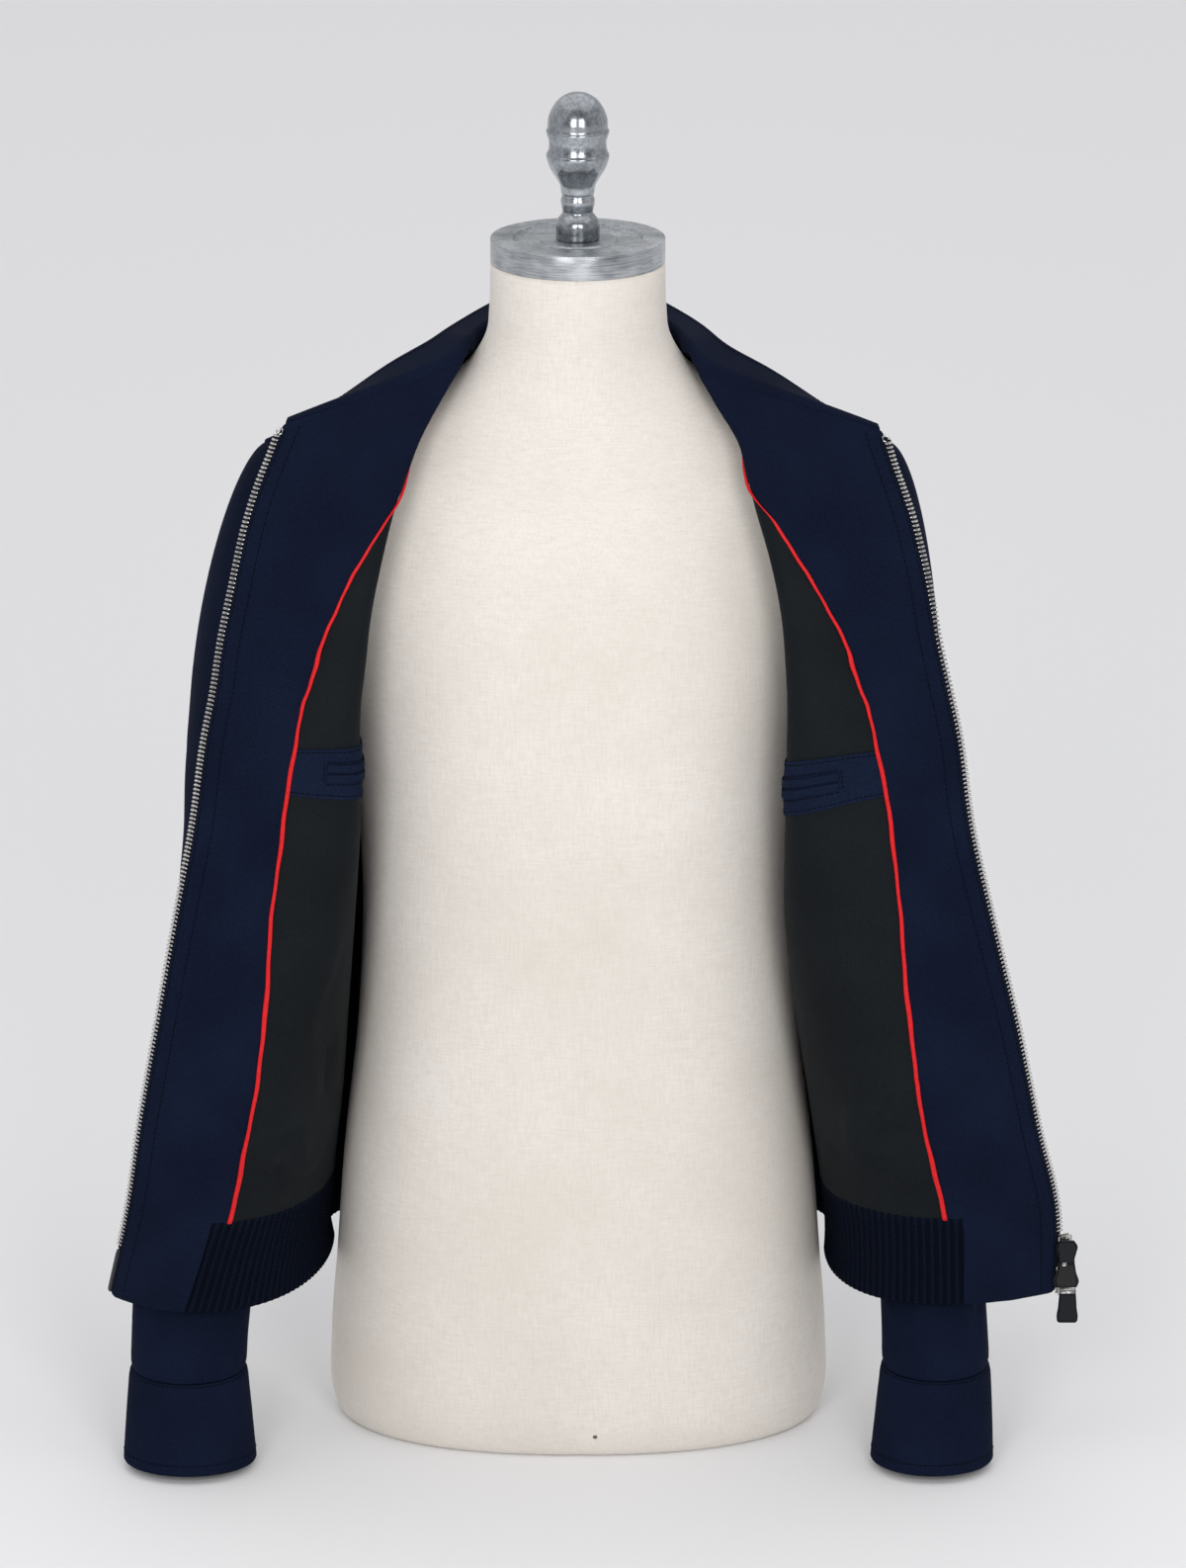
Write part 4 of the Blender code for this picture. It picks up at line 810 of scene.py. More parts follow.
# One row a station: 0-4 start on the shoulder seam, 4-8 on the armhole, 8-14 on the side seam;
# 13 is the rib seam and 14 the hem. A row runs from there to the roll, where the front folds
# outwards, and on to the zip. Columns: the roll's and the zip's distance out from the centre,
# y and height, the softness of the roll, the angle at which the zip edge faces, and the
# width of the facing.
FRONT_RIGHT = (
    (0.0778, -0.017, 0.7865, 0.2008, -0.055, 0.7465, 0.095, -4, 0.1340),
    (0.0943, -0.050, 0.7655, 0.2083, -0.066, 0.7280, 0.095, 5, 0.1370),
    (0.1088, -0.071, 0.7420, 0.2158, -0.076, 0.7110, 0.095, 12, 0.1400),
    (0.1173, -0.089, 0.7230, 0.2223, -0.084, 0.6930, 0.100, 16, 0.1270),
    (0.1262, -0.103, 0.6990, 0.2278, -0.092, 0.6740, 0.090, 18, 0.1040),
    (0.1348, -0.116, 0.6660, 0.2348, -0.101, 0.6420, 0.075, 20, 0.0875),
    (0.1423, -0.121, 0.6290, 0.2423, -0.110, 0.6070, 0.075, 20, 0.0760),
    (0.1468, -0.121, 0.5910, 0.2478, -0.117, 0.5720, 0.075, 20, 0.0680),
    (0.1508, -0.120, 0.5530, 0.2553, -0.121, 0.5340, 0.090, 22, 0.0650),
    (0.1518, -0.110, 0.4750, 0.2638, -0.122, 0.4750, 0.120, 22, 0.0620),
    (0.1570, -0.085, 0.4000, 0.2773, -0.121, 0.4050, 0.180, 28, 0.0670),
    (0.1630, -0.055, 0.3250, 0.2913, -0.120, 0.3300, 0.250, 33, 0.0760),
    (0.1690, -0.030, 0.2500, 0.3050, -0.115, 0.2550, 0.280, 36, 0.0780),
    (0.1760, -0.005, 0.1850, 0.3158, -0.108, 0.1880, 0.300, 42, 0.0760),
    (0.1780, 0.008, 0.1225, 0.3313, -0.092, 0.1180, 0.400, 50, 0.0780),
)
FRONT_LEFT = (
    (0.0800, -0.018, 0.7820, 0.2078, -0.055, 0.7420, 0.095, -4, 0.1360),
    (0.0955, -0.050, 0.7620, 0.2143, -0.066, 0.7220, 0.095, 5, 0.1390),
    (0.1110, -0.071, 0.7400, 0.2203, -0.076, 0.7070, 0.095, 12, 0.1410),
    (0.1168, -0.089, 0.7210, 0.2263, -0.084, 0.6910, 0.105, 16, 0.1265),
    (0.1228, -0.103, 0.6990, 0.2313, -0.092, 0.6740, 0.095, 18, 0.1030),
    (0.1328, -0.116, 0.6660, 0.2383, -0.102, 0.6450, 0.075, 20, 0.0860),
    (0.1403, -0.121, 0.6290, 0.2453, -0.111, 0.6070, 0.075, 20, 0.0700),
    (0.1438, -0.121, 0.5910, 0.2528, -0.118, 0.5740, 0.075, 20, 0.0630),
    (0.1453, -0.120, 0.5530, 0.2613, -0.120, 0.5340, 0.090, 22, 0.0595),
    (0.1448, -0.110, 0.4750, 0.2700, -0.120, 0.4740, 0.120, 22, 0.0555),
    (0.1455, -0.090, 0.4000, 0.2873, -0.120, 0.4000, 0.180, 28, 0.0660),
    (0.1540, -0.065, 0.3250, 0.3048, -0.119, 0.3280, 0.240, 33, 0.0770),
    (0.1650, -0.045, 0.2500, 0.3208, -0.115, 0.2520, 0.250, 35, 0.0810),
    (0.1740, -0.025, 0.1850, 0.3353, -0.107, 0.1900, 0.270, 30, 0.0800),
    (0.1790, -0.005, 0.1170, 0.3383, -0.100, 0.1240, 0.340, 27, 0.0810),
)
SIDES = {"right": (-1, FRONT_RIGHT), "left": (1, FRONT_LEFT)}
TIP_STATION, ARMPIT_STATION, RIB_STATION, HEM_STATION = 4, 8, 13, 14
SIDE_SEAM_LEVELS = (ARMPIT_Z, 0.500, 0.415, 0.335, 0.255, RIB_SEAM_Z, HEM_Z)
# How far a row leaves the seam sideways at four stations, and the zip's pull on its cloth as
# shares of the row's outer part and of the roll's softness.
CHEST_SHARES = ((3, 4.25, 6.5, 8.5), (0, 0.6, 0.6, 0))
ZIP_PULL = (0.6, 0.5)
# Folds fade out over these distances from the zip and from the seam.
FOLD_FREE_ZIP, FOLD_FREE_SEAM = 0.010, 0.015
TAB_STEP = 0.0115
FRONT_ROWS, TAB_ROWS = (150, 0.0012), (22, 0.014)
LINING_COLUMNS, STEP_COLUMNS, FACING_COLUMNS = (58, 0.004), (4, 0.05), (34, 0.008)
TAB_CORNER = 0.006
PIPING_HALF_WIDTH, PIPING_HALF_HEIGHT = 0.0017, 0.0013
PIPING_START, PIPING_ROWS, PIPING_SIDES = 1.6, 300, 12
# The piping's middle stands this share of its half height off the facing.
PIPING_SUNK = 0.7
PIPING_RED, PIPING_SHADE = "#e4191f", "#b30d14"
# Folds of the fronts on the side that shows, as on the back: here the first place is the distance
# in from the zip, and the second the height.
FRONT_JITTER = 0.6
FRONT_CREASES = {
    "right": (
        (0.006, 0.205, 0.052, 0.232, 0.003, 0.0060, -0.0010),
        (0.050, 0.212, 0.074, 0.196, -0.003, 0.0045, 0.0012),
        (0.020, 0.140, 0.060, 0.124, 0.004, 0.0070, 0.0012),
        (0.004, 0.640, 0.055, 0.600, 0.006, 0.0100, -0.0012),
        (0.012, 0.520, 0.050, 0.400, 0.004, 0.0090, -0.0009),
        (0.028, 0.420, 0.034, 0.250, 0.003, 0.0080, 0.0009),
        (0.092, 0.226, 0.118, 0.208, 0.003, 0.0042, -0.0048),
        (0.100, 0.258, 0.150, 0.212, -0.004, 0.0070, 0.0051),
        (0.088, 0.250, 0.130, 0.234, 0.004, 0.0050, -0.0031),
        (0.120, 0.330, 0.165, 0.250, 0.004, 0.0080, -0.0048),
        (0.110, 0.440, 0.118, 0.300, -0.003, 0.0090, 0.0027),
        (0.084, 0.560, 0.092, 0.470, 0.003, 0.0080, -0.0014),
    ),
    "left": (
        (0.010, 0.150, 0.045, 0.168, 0.003, 0.0055, -0.0014),
        (0.012, 0.132, 0.060, 0.140, -0.003, 0.0055, 0.0013),
        (0.050, 0.205, 0.078, 0.192, 0.003, 0.0050, 0.0013),
        (0.006, 0.235, 0.048, 0.215, 0.004, 0.0065, -0.0010),
        (0.005, 0.610, 0.050, 0.640, -0.005, 0.0100, -0.0012),
        (0.014, 0.500, 0.040, 0.330, 0.005, 0.0090, -0.0010),
        (0.094, 0.262, 0.122, 0.252, 0.003, 0.0045, -0.0044),
        (0.098, 0.216, 0.104, 0.192, 0.001, 0.0035, -0.0034),
        (0.088, 0.300, 0.160, 0.214, 0.005, 0.0080, 0.0048),
        (0.104, 0.236, 0.170, 0.226, -0.004, 0.0060, -0.0044),
        (0.100, 0.450, 0.112, 0.310, 0.004, 0.0090, 0.0027),
        (0.076, 0.540, 0.090, 0.440, -0.003, 0.0080, -0.0014),
    ),
}


def body_seam(station):
    """Where a front row starts: on the shoulder seam, the armhole or the side seam."""
    station = np.asarray(station, float)
    on_shoulder = shoulder(np.clip(station / TIP_STATION, 0, 1))
    on_armhole = armhole(math.pi * np.clip((station - TIP_STATION) / (ARMPIT_STATION - TIP_STATION), 0, 1))
    z = np.interp(station, range(ARMPIT_STATION, HEM_STATION + 1), SIDE_SEAM_LEVELS)
    on_side = np.concatenate([at_height(BODY, z)[..., :2], z[..., None]], axis=-1)
    above = (station <= TIP_STATION)[..., None]
    return np.where(above, on_shoulder, np.where((station <= ARMPIT_STATION)[..., None], on_armhole, on_side))


def front_rows(table, station, along):
    """Points of front rows [row, place]: a cubic from the body seam (0) to the roll (1), where the
    cloth faces sideways, and a second one on to the zip (2)."""
    values = along_rows(table, station)
    roll, edge = values[:, None, 0:3], values[:, None, 3:6]
    bend, angle = values[:, None, 6], np.radians(values[:, None, 7])
    seam = (body_seam(station) + np.array([0, SEAM_LAP, 0]))[:, None]
    reach, spread = np.linalg.norm(roll - seam, axis=-1), np.linalg.norm(edge - roll, axis=-1)
    slope = (edge[..., 2] - seam[..., 2]) / 2
    pull = ZIP_PULL[0] * spread + ZIP_PULL[1] * bend
    across = np.interp(station, *CHEST_SHARES)[:, None]
    leave_seam = points_of(-reach * across, -reach * (1 - across / 3), roll[..., 2] - seam[..., 2])
    arrive_roll = points_of(0, -reach, slope)
    leave_roll = points_of(0, -bend, slope)
    arrive_zip = points_of(pull * np.cos(angle), pull * np.sin(angle), edge[..., 2] - roll[..., 2])
    f = along[..., None]
    inner = cubic(seam, roll, leave_seam, arrive_roll, np.clip(f, 0, 1))
    outer = cubic(roll, edge, leave_roll, arrive_zip, np.clip(f - 1, 0, 1))
    return np.where(f < 1, inner, outer)


def front_surface(side, station, reach, lift=0.0):
    """Points and inner-side normals of a patch of a front, folds included. reach says how far
    across a row a point is: 0 at the body seam, 1 at the piping, 2 at the hem tab's seam and 3 at
    the zip. Also each point's distance from the zip. Either place may run up or down the grid."""
    sign, table = SIDES[side]
    fine = np.linspace(0, 2, 161)
    shape = np.broadcast(station, reach).shape
    station, reach = np.broadcast_to(station, shape), np.broadcast_to(reach, shape)
    if np.ptp(station, axis=1).max() > 0:
        rows, places = station.reshape(-1), reach.reshape(-1, 1)
    else:
        rows, places = station[:, 0], reach
    line = front_rows(table, rows, np.broadcast_to(fine, (len(rows), len(fine))))
    steps = steps_along(line, 1)
    from_zip = steps.sum(axis=1, keepdims=True) - np.pad(np.cumsum(steps, axis=1), ((0, 0), (1, 0)))
    facing = along_rows(table, rows)[:, -1:]
    piping = np.array([np.interp(-w[0], -d, fine) for w, d in zip(facing, from_zip)])[:, None]
    in_lining = np.array([np.interp(p, fine, d) for p, d in zip(places.clip(0, 1) * piping, from_zip)])
    tab = facing - TAB_STEP
    in_facing = np.where(places < 2, facing - (places - 1) * TAB_STEP, tab * (3 - places))
    distance = np.where(places < 1, in_lining, in_facing)
    along = np.array([np.interp(-w, -d, fine) for w, d in zip(distance, from_zip)])
    points = front_rows(table, rows, along).reshape(*shape, 3)
    distance = distance.reshape(shape)
    hand = np.sign((station[-1, 0] - station[0, 0]) * (reach[0, -1] - reach[0, 0]))
    normals = surface_normals(points) * hand
    from_seam = (from_zip[:, :1] - distance.reshape(len(rows), -1)).reshape(shape)
    hold = np.clip(distance / FOLD_FREE_ZIP, 0, 1) * np.clip(from_seam / FOLD_FREE_SEAM, 0, 1)
    folds = creases(distance, points[..., 2], FRONT_CREASES[side], FRONT_JITTER) * hold
    points = points + normals * (folds + lift)[..., None]
    normals = surface_normals(points) * hand
    flip = np.array([sign, 1, 1])
    return points * flip, normals * flip, distance


def round_tab(grid, stations, distance):
    """A front's grid with the tab's lower corner at the zip raised along a quarter circle."""
    near_zip = np.clip(1 - distance[-1] / TAB_CORNER, 0, 1)
    raised = TAB_CORNER * (1 - np.sqrt(1 - near_zip ** 2))
    low = np.clip((stations - RIB_STATION - 0.5) / 0.5, 0, 1) ** 2
    up = unit(grid[-3] - grid[-1])
    return grid + up * (raised * low)[..., None]


upper = RIB_STATION * edge_steps(*FRONT_ROWS)
stations = np.concatenate([upper, RIB_STATION + edge_steps(*TAB_ROWS)[1:]])[:, None]
lining_reach = edge_steps(*LINING_COLUMNS)
step_reach = 1 + edge_steps(*STEP_COLUMNS)[1:]
facing_reach = 2 + edge_steps(*FACING_COLUMNS)[1:]
in_tab = np.arange(len(stations) - 1) >= len(upper) - 1
# Each layer's name, its columns before the step, its two faces and what carries it.
LAYERS = (("front", lining_reach, -LAYER - WOOL, -LAYER, "form_torso"),
          ("facing", [1.0], LAYER, LAYER + FACING, "front_wool_{}"))

for side in SIDES:
    for layer, first_reach, low, high, carrier in LAYERS:
        reach = np.concatenate([first_reach, step_reach, facing_reach])
        grid, normals, distance = front_surface(side, stations, reach[None])
        grid = round_tab(grid, stations, distance)
        hidden = len(first_reach) + len(step_reach) - 1
        keep = ~(in_tab[:, None] & (np.arange(grid.shape[1] - 1) < hidden))
        chart = points_of(distance, -grid[..., 2])
        sew(f"{layer}_wool_{side}", f"{layer}_{side}", grid, normals, low, high, [navy_wool], "draped",
            chart=chart, keep=keep)

    grid, normals, _ = front_surface(side, upper[2:, None], lining_reach[None, 1:])
    sew(f"lining_cloth_{side}", f"lining_{side}", grid, normals, LAYER, LAYER + LINING, [lining_cloth],
        "draped")


# Satin piping: a bias strip of bright red satin folded over a cord and caught in the seam, so
# that more or less of it shows along the way.
satin, tree = start_material("bias_cut_satin", Roughness=0.45, Specular_IOR_Level=0.25)
pucker = noise(tree, on_cloth(tree), 260.0, 2.0)
paint(tree, pucker, PIPING_SHADE, PIPING_RED)
emboss(tree, pucker, 0.3, 0.0006)

for side in SIDES:
    stations = np.linspace(PIPING_START, RIB_STATION, PIPING_ROWS)[:, None]
    grid, normals, _ = front_surface(side, stations, np.array([[0.985, 1.0, 1.015]]))
    seam, normal = grid[:, 1], normals[:, 1]
    across = unit(grid[:, 2] - grid[:, 0])
    swell = (0.86 + 0.10 * np.sin(3.1 * stations) + 0.07 * np.sin(7.7 * stations + 1)
             + 0.14 * np.clip(stations - 10, 0, 3) / 3)
    wander = 0.0004 * np.sin(5.3 * stations) + 0.0002 * np.sin(13 * stations)
    centre = seam + normal * (LAYER + FACING + PIPING_HALF_HEIGHT * PIPING_SUNK) + across * wander
    angles = full_turn(PIPING_SIDES)
    section = swell[..., None] * oval(PIPING_HALF_WIDTH, PIPING_HALF_HEIGHT, angles)
    shape = tube(centre, across, normal, section)
    length = running(steps_along(seam))
    chart = points_of(0.003 * np.cos(angles), length[:, None]).reshape(-1, 2)
    chart = np.concatenate([chart, [[0, 0], [0, length[-1]]]])
    add_piece(f"piping_satin_{side}", shape, [satin], f"piping_{side}", chart=chart[shape[1]])


# ----------------------------------------------------------------------
# Stitching. Corespun polyester thread in a lockstitch; each stitch shows as a short rounded bar
# sunk a little into the cloth. Two rows sew in the zip's tape, 12.5 mm and 2.2 mm in from the
# edge of each front, and further rows are on the pockets, the cuffs and the collar.
STITCH_LENGTH, STITCH_GAP, THREAD, THREAD_BEVEL = 0.0025, 0.0011, 0.0007, 0.3
ZIP_STITCH_IN, ZIP_STITCH_STATIONS, ZIP_STITCH_ROWS = (0.0125, 0.0022), (0.35, 13.93), 420
BESIDE = np.array([0.0005, 0.0])
THREAD_NAVY = "#04060d"


def paced(line, step, *beside):
    """Points every step metres along a line, and what lies beside the line's points there."""
    passed = running(steps_along(line))
    marks = (np.arange(int(passed[-1] / step)) + 0.5) * step
    return [at_marks(item, passed, marks) for item in (line, *beside)]


def stitch(name, lines):
    """Rows of stitches along lines, each a pair of points and of the cloth's normals there."""
    rows = []
    for line, normals in lines:
        place, out = paced(line, STITCH_LENGTH + STITCH_GAP, normals)
        way = unit(np.gradient(place, axis=0))
        rows.append((place, way, unit(out - way * np.sum(out * way, axis=1, keepdims=True))))
    place, way, out = (np.concatenate(parts) for parts in zip(*rows))
    shape = rounded_bar(STITCH_LENGTH, THREAD, THREAD, THREAD * THREAD_BEVEL)
    add_piece(name, strewn(shape, place, way, np.cross(out, way), out), [thread])


# Navy polyester thread, matt, with its two plies as a fine twist.
thread, tree = start_material("navy_polyester_thread", Base_Color=linear(THREAD_NAVY), Roughness=0.7,
                              Specular_IOR_Level=0.08)
twist = add(tree, "ShaderNodeTexWave", {"Vector": in_solid(tree), "Scale": 700.0, "Distortion": 1.0})
emboss(tree, twist.outputs["Fac"], 0.3, 0.0001)


def facing_beside(side, stations):
    """Width of the facing between the tab's seam and the zip at stations."""
    return along_rows(SIDES[side][1], stations[:, 0])[:, -1:] - TAB_STEP


for side in SIDES:
    stations = np.linspace(*ZIP_STITCH_STATIONS, ZIP_STITCH_ROWS)[:, None]
    lines = []
    for inset in ZIP_STITCH_IN:
        reach = 3 - (inset + BESIDE) / facing_beside(side, stations)
        grid, normals, _ = front_surface(side, stations, reach, LAYER + FACING)
        lines.append((grid[:, 1], normals[:, 1]))
    stitch(f"zip_stitching_{side}", lines)


# ----------------------------------------------------------------------
# Inner pockets. On each lining lies a wool patch that runs in under the facing's piping, with a
# jetted pocket in it: two narrow folded welts of the same wool that meet along a dark slit.
# The pocket's middle as a station at the piping end and at the far end, and the patch's reach.
POCKETS = {"right": (8.34, 8.66), "left": (8.35, 8.95)}
PATCH_REACH, WELT_REACH = (0.995, 0.275), (0.875, 0.375)
PATCH_HALF_HEIGHT, PATCH_THICKNESS = 0.0172, 0.0012
WELT_HEIGHT, WELT_SLIT, WELT_THICKNESS = 0.0052, 0.0015, 0.0010
WELT_ROLL, WELT_AIR = 0.0005, 0.0001
WELT_STITCH_OUT, PATCH_STITCH_IN = 0.0016, 0.0025
BAR_STITCH_REACH, BAR_STITCH_ROWS, BAR_STITCH_STEP = 0.012, 12, 0.004
POCKET_COLUMNS, PATCH_ROWS, WELT_ROWS = (54, 0.004), (22, 0.01), (8, 0.03)
# Height between two stations beside the pockets.
STATION_SPACING = 0.072
PATCH_LIFT = LAYER + LINING + 0.0002
# Colours of the pocket wool, lighter than the fronts' navy: painted light.
LIT_POCKET_NAVY, LIT_POCKET_NAVY_LIGHT = "#0c1324", "#19233a"

# The same wool as the fronts, with its colours painted lighter for the stronger light that falls on the
# pockets: painted light.
pocket_wool_painted_lit = woven("navy_wool_pocket_painted_lit", LIT_POCKET_NAVY_LIGHT, LIT_POCKET_NAVY, *WOOL_LOOK)


def pocket_grid(side, reaches, offsets):
    """Part of the surface beside the pocket's middle line, between reaches and up by offsets."""
    at_piping, at_end = POCKETS[side]
    reach = reaches[0] + (reaches[1] - reaches[0]) * edge_steps(*POCKET_COLUMNS)[None, :]
    share = (PATCH_REACH[0] - reach) / (PATCH_REACH[0] - PATCH_REACH[1])
    station = at_piping + share * (at_end - at_piping) - offsets[:, None] / STATION_SPACING
    return front_surface(side, station, reach, PATCH_LIFT)[:2]


for side in SIDES:
    offsets = PATCH_HALF_HEIGHT * (1 - 2 * edge_steps(*PATCH_ROWS))
    grid, normals = pocket_grid(side, PATCH_REACH, offsets)
    sew(f"pocket_patch_wool_{side}", f"pocket_patch_{side}", grid, normals, 0.0, PATCH_THICKNESS,
        [pocket_wool_painted_lit], "laid")
    for level, sign in (("upper", 1), ("lower", -1)):
        offsets = sign * (WELT_SLIT / 2 + WELT_HEIGHT * edge_steps(*WELT_ROWS))
        grid, normals = pocket_grid(side, WELT_REACH, offsets)
        round_over = np.sqrt(np.clip(1 - np.linspace(-1, 1, len(offsets)) ** 4, 0, 1))[:, None]
        grid = grid + normals * (PATCH_THICKNESS + WELT_AIR + WELT_ROLL * round_over)[..., None]
        sew(f"pocket_welt_wool_{level}_{side}", f"pocket_welt_{level}_{side}", grid, normals, 0.0,
            WELT_THICKNESS, [pocket_wool_painted_lit])
    beside_welt = WELT_SLIT / 2 + WELT_HEIGHT + WELT_STITCH_OUT
    beside_edge = PATCH_HALF_HEIGHT - PATCH_STITCH_IN
    lines = []
    for offset, reaches in ((beside_welt, WELT_REACH), (-beside_welt, WELT_REACH),
                            (beside_edge, PATCH_REACH), (-beside_edge, PATCH_REACH)):
        grid, normals = pocket_grid(side, reaches, offset + BESIDE)
        lines.append((grid[1] + normals[1] * PATCH_THICKNESS, normals[1]))
    for reach in (WELT_REACH[0] + BAR_STITCH_REACH, WELT_REACH[1] - BAR_STITCH_REACH):
        offsets = np.linspace(beside_welt, -beside_welt, BAR_STITCH_ROWS)
        grid, normals = pocket_grid(side, (reach, reach - BAR_STITCH_STEP), offsets)
        lines.append((grid[:, 1] + normals[:, 1] * PATCH_THICKNESS, normals[:, 1]))
    stitch(f"pocket_stitching_{side}", lines)


# ----------------------------------------------------------------------
# Sleeves. Two-piece set-in sleeves of navy wool, lined, that hang behind the fronts with the
# elbows a little forward. They crease at the elbow and the armpit, and the cuff seam pinches in.
# The head's edge is tucked in under the edge of the panels.
# Height, then the section's distance out from the centre, its y, half width and half depth.
SLEEVE_RIGHT = (
    (0.0060, 0.2758, -0.122, 0.0468, 0.0370), (0.0400, 0.2763, -0.114, 0.0440, 0.0375),
    (0.0695, 0.2767, -0.104, 0.0415, 0.0380), (0.1200, 0.2740, -0.080, 0.0425, 0.0400),
    (0.1800, 0.2665, -0.067, 0.0440, 0.0440), (0.2600, 0.2560, -0.055, 0.0435, 0.0490),
    (0.3400, 0.2450, -0.038, 0.0420, 0.0560), (0.4200, 0.2400, -0.018, 0.0400, 0.0620),
    (0.5000, 0.2358, -0.006, 0.0385, 0.0660),
)
SLEEVE_LEFT = (
    (0.0060, 0.2512, -0.121, 0.0432, 0.0370), (0.0400, 0.2528, -0.110, 0.0408, 0.0375),
    (0.0695, 0.2540, -0.098, 0.0385, 0.0380), (0.1200, 0.2525, -0.070, 0.0375, 0.0400),
    (0.1800, 0.2500, -0.058, 0.0385, 0.0440), (0.2600, 0.2440, -0.047, 0.0375, 0.0500),
    (0.3400, 0.2360, -0.034, 0.0350, 0.0580), (0.4200, 0.2300, -0.018, 0.0320, 0.0650),
    (0.5000, 0.2268, -0.006, 0.0297, 0.0690),
)
SLEEVES = {"right": SLEEVE_RIGHT, "left": SLEEVE_LEFT}
CUFF_SEAM_Z, CUFF_HEM_Z, UPPER_ARM_Z = 0.0695, 0.0060, 0.500
SLEEVE_TUCK = 0.0012
# Tangents of the head as it leaves the armhole and as it arrives at the upper arm, each at the
# shoulder and under the arm.
HEAD_LEAVE = np.array([[0.066, 0, -0.014], [0.020, 0, -0.074]])
HEAD_ARRIVE = np.array([[0, 0, -0.300], [0, 0, -0.075]])
HEAD_FOLD_ROWS, CUFF_FOLD_FREE, LEFT_FOLDS_DOWN = 12, 0.02, 0.012
SLEEVE_COLUMNS, HEAD_ROWS, ARM_ROWS = 112, (64, 0.004), (100, 0.001)
SEAM_PINCH, SEAM_PINCH_WIDTH = 0.0013, 0.0035
ARM_GIRTH = 0.29
# Folds, as on the back: the first place is the distance round from the outer side by the front.
SLEEVE_JITTER = 0.6
SLEEVE_CREASES = (
    (0.070, 0.100, 0.012, 0.132, 0.006, 0.0080, -0.0026),
    (0.012, 0.090, 0.074, 0.104, -0.004, 0.0065, 0.0020),
    (0.120, 0.110, 0.060, 0.150, 0.006, 0.0090, 0.0024),
    (0.050, 0.270, 0.130, 0.310, 0.010, 0.0120, -0.0034),
    (0.060, 0.330, 0.150, 0.296, -0.010, 0.0110, 0.0030),
    (0.110, 0.250, 0.040, 0.226, 0.006, 0.0100, 0.0022),
    (0.215, 0.300, 0.250, 0.200, 0.008, 0.0130, 0.0026),
    (0.200, 0.400, 0.262, 0.300, -0.008, 0.0140, -0.0024),
    (0.130, 0.520, 0.190, 0.455, 0.008, 0.0120, -0.0032),
    (0.170, 0.540, 0.225, 0.440, -0.006, 0.0120, 0.0028),
    (0.235, 0.600, 0.205, 0.480, 0.008, 0.0140, -0.0022),
    (0.020, 0.560, 0.006, 0.400, 0.006, 0.0160, 0.0020),
    (0.262, 0.520, 0.280, 0.360, -0.006, 0.0160, -0.0018),
)


def sleeve_rings(side, z, columns):
    """Level elliptical rings of a sleeve at heights z, from the outer side round by the front."""
    out, y, half_width, half_depth = np.moveaxis(at_height(SLEEVES[side], z), -1, 0)[..., None]
    ring = oval(half_width, -half_depth, full_turn(columns))
    return at_level(points_of(out, y) + ring, z)


def sleeve_surface(side, head_shares, z):
    """Outer face and normals of a sleeve: cubics from the armhole seam down and out to the ring of
    the upper arm, then level rings, with the folds raised along the normals."""
    arm = sleeve_rings(side, np.array([UPPER_ARM_Z]), SLEEVE_COLUMNS)
    angles = full_turn(SLEEVE_COLUMNS)
    under = ((1 - np.cos(angles)) / 2)[:, None]
    start = armhole(angles) - SLEEVE_TUCK * AXES[0]
    leave, arrive = between(*HEAD_LEAVE, under), between(*HEAD_ARRIVE, under)
    head = cubic(start[None], arm, leave[None], arrive[None], head_shares[:, None, None])
    grid = np.concatenate([head[:-1], sleeve_rings(side, z, SLEEVE_COLUMNS)])
    normals = -surface_normals(grid, wrap=True)
    round_arm = np.broadcast_to(angles / (2 * math.pi) * ARM_GIRTH, grid.shape[:2])
    z_all = grid[..., 2] + (LEFT_FOLDS_DOWN if side == "left" else 0.0)
    folds = sum(creases(round_arm + turn * ARM_GIRTH, z_all, SLEEVE_CREASES, SLEEVE_JITTER)
                for turn in (-1, 0, 1))
    near_seam = np.exp(-((grid[..., 2] - CUFF_SEAM_Z) / SEAM_PINCH_WIDTH) ** 2)
    hold = np.clip((grid[..., 2] - CUFF_SEAM_Z) / CUFF_FOLD_FREE, 0, 1)
    hold = hold * np.clip(np.arange(len(grid))[:, None] / HEAD_FOLD_ROWS, 0, 1)
    grid = grid + normals * (folds * hold - SEAM_PINCH * near_seam)[..., None]
    flip = np.array([SIDES[side][0], 1, 1])
    return grid * flip, -surface_normals(grid, wrap=True) * flip


for side in SIDES:
    head_shares = edge_steps(*HEAD_ROWS)
    head_shares = np.append(head_shares[head_shares < 0.998], 1.0)
    arm_z = UPPER_ARM_Z - (UPPER_ARM_Z - CUFF_SEAM_Z) * edge_steps(*ARM_ROWS)
    grid, normals = sleeve_surface(side, head_shares, arm_z[arm_z < UPPER_ARM_Z - 1e-3])
    sew(f"sleeve_wool_{side}", f"sleeve_{side}", grid, normals, -WOOL, 0.0, [navy_wool, lining_cloth],
        "hung", wrap=True)


# ----------------------------------------------------------------------
# Cuffs. A plain turned band of the same wool, sewn on round the sleeve and topstitched beside
# its seam and above its lower edge. It flares towards the hem, and its fold is soft and round.
CUFF_ROWS, CUFF_EDGE_ROUND, CUFF_FOLD_IN = (34, 0.008), 0.0022, 0.0012
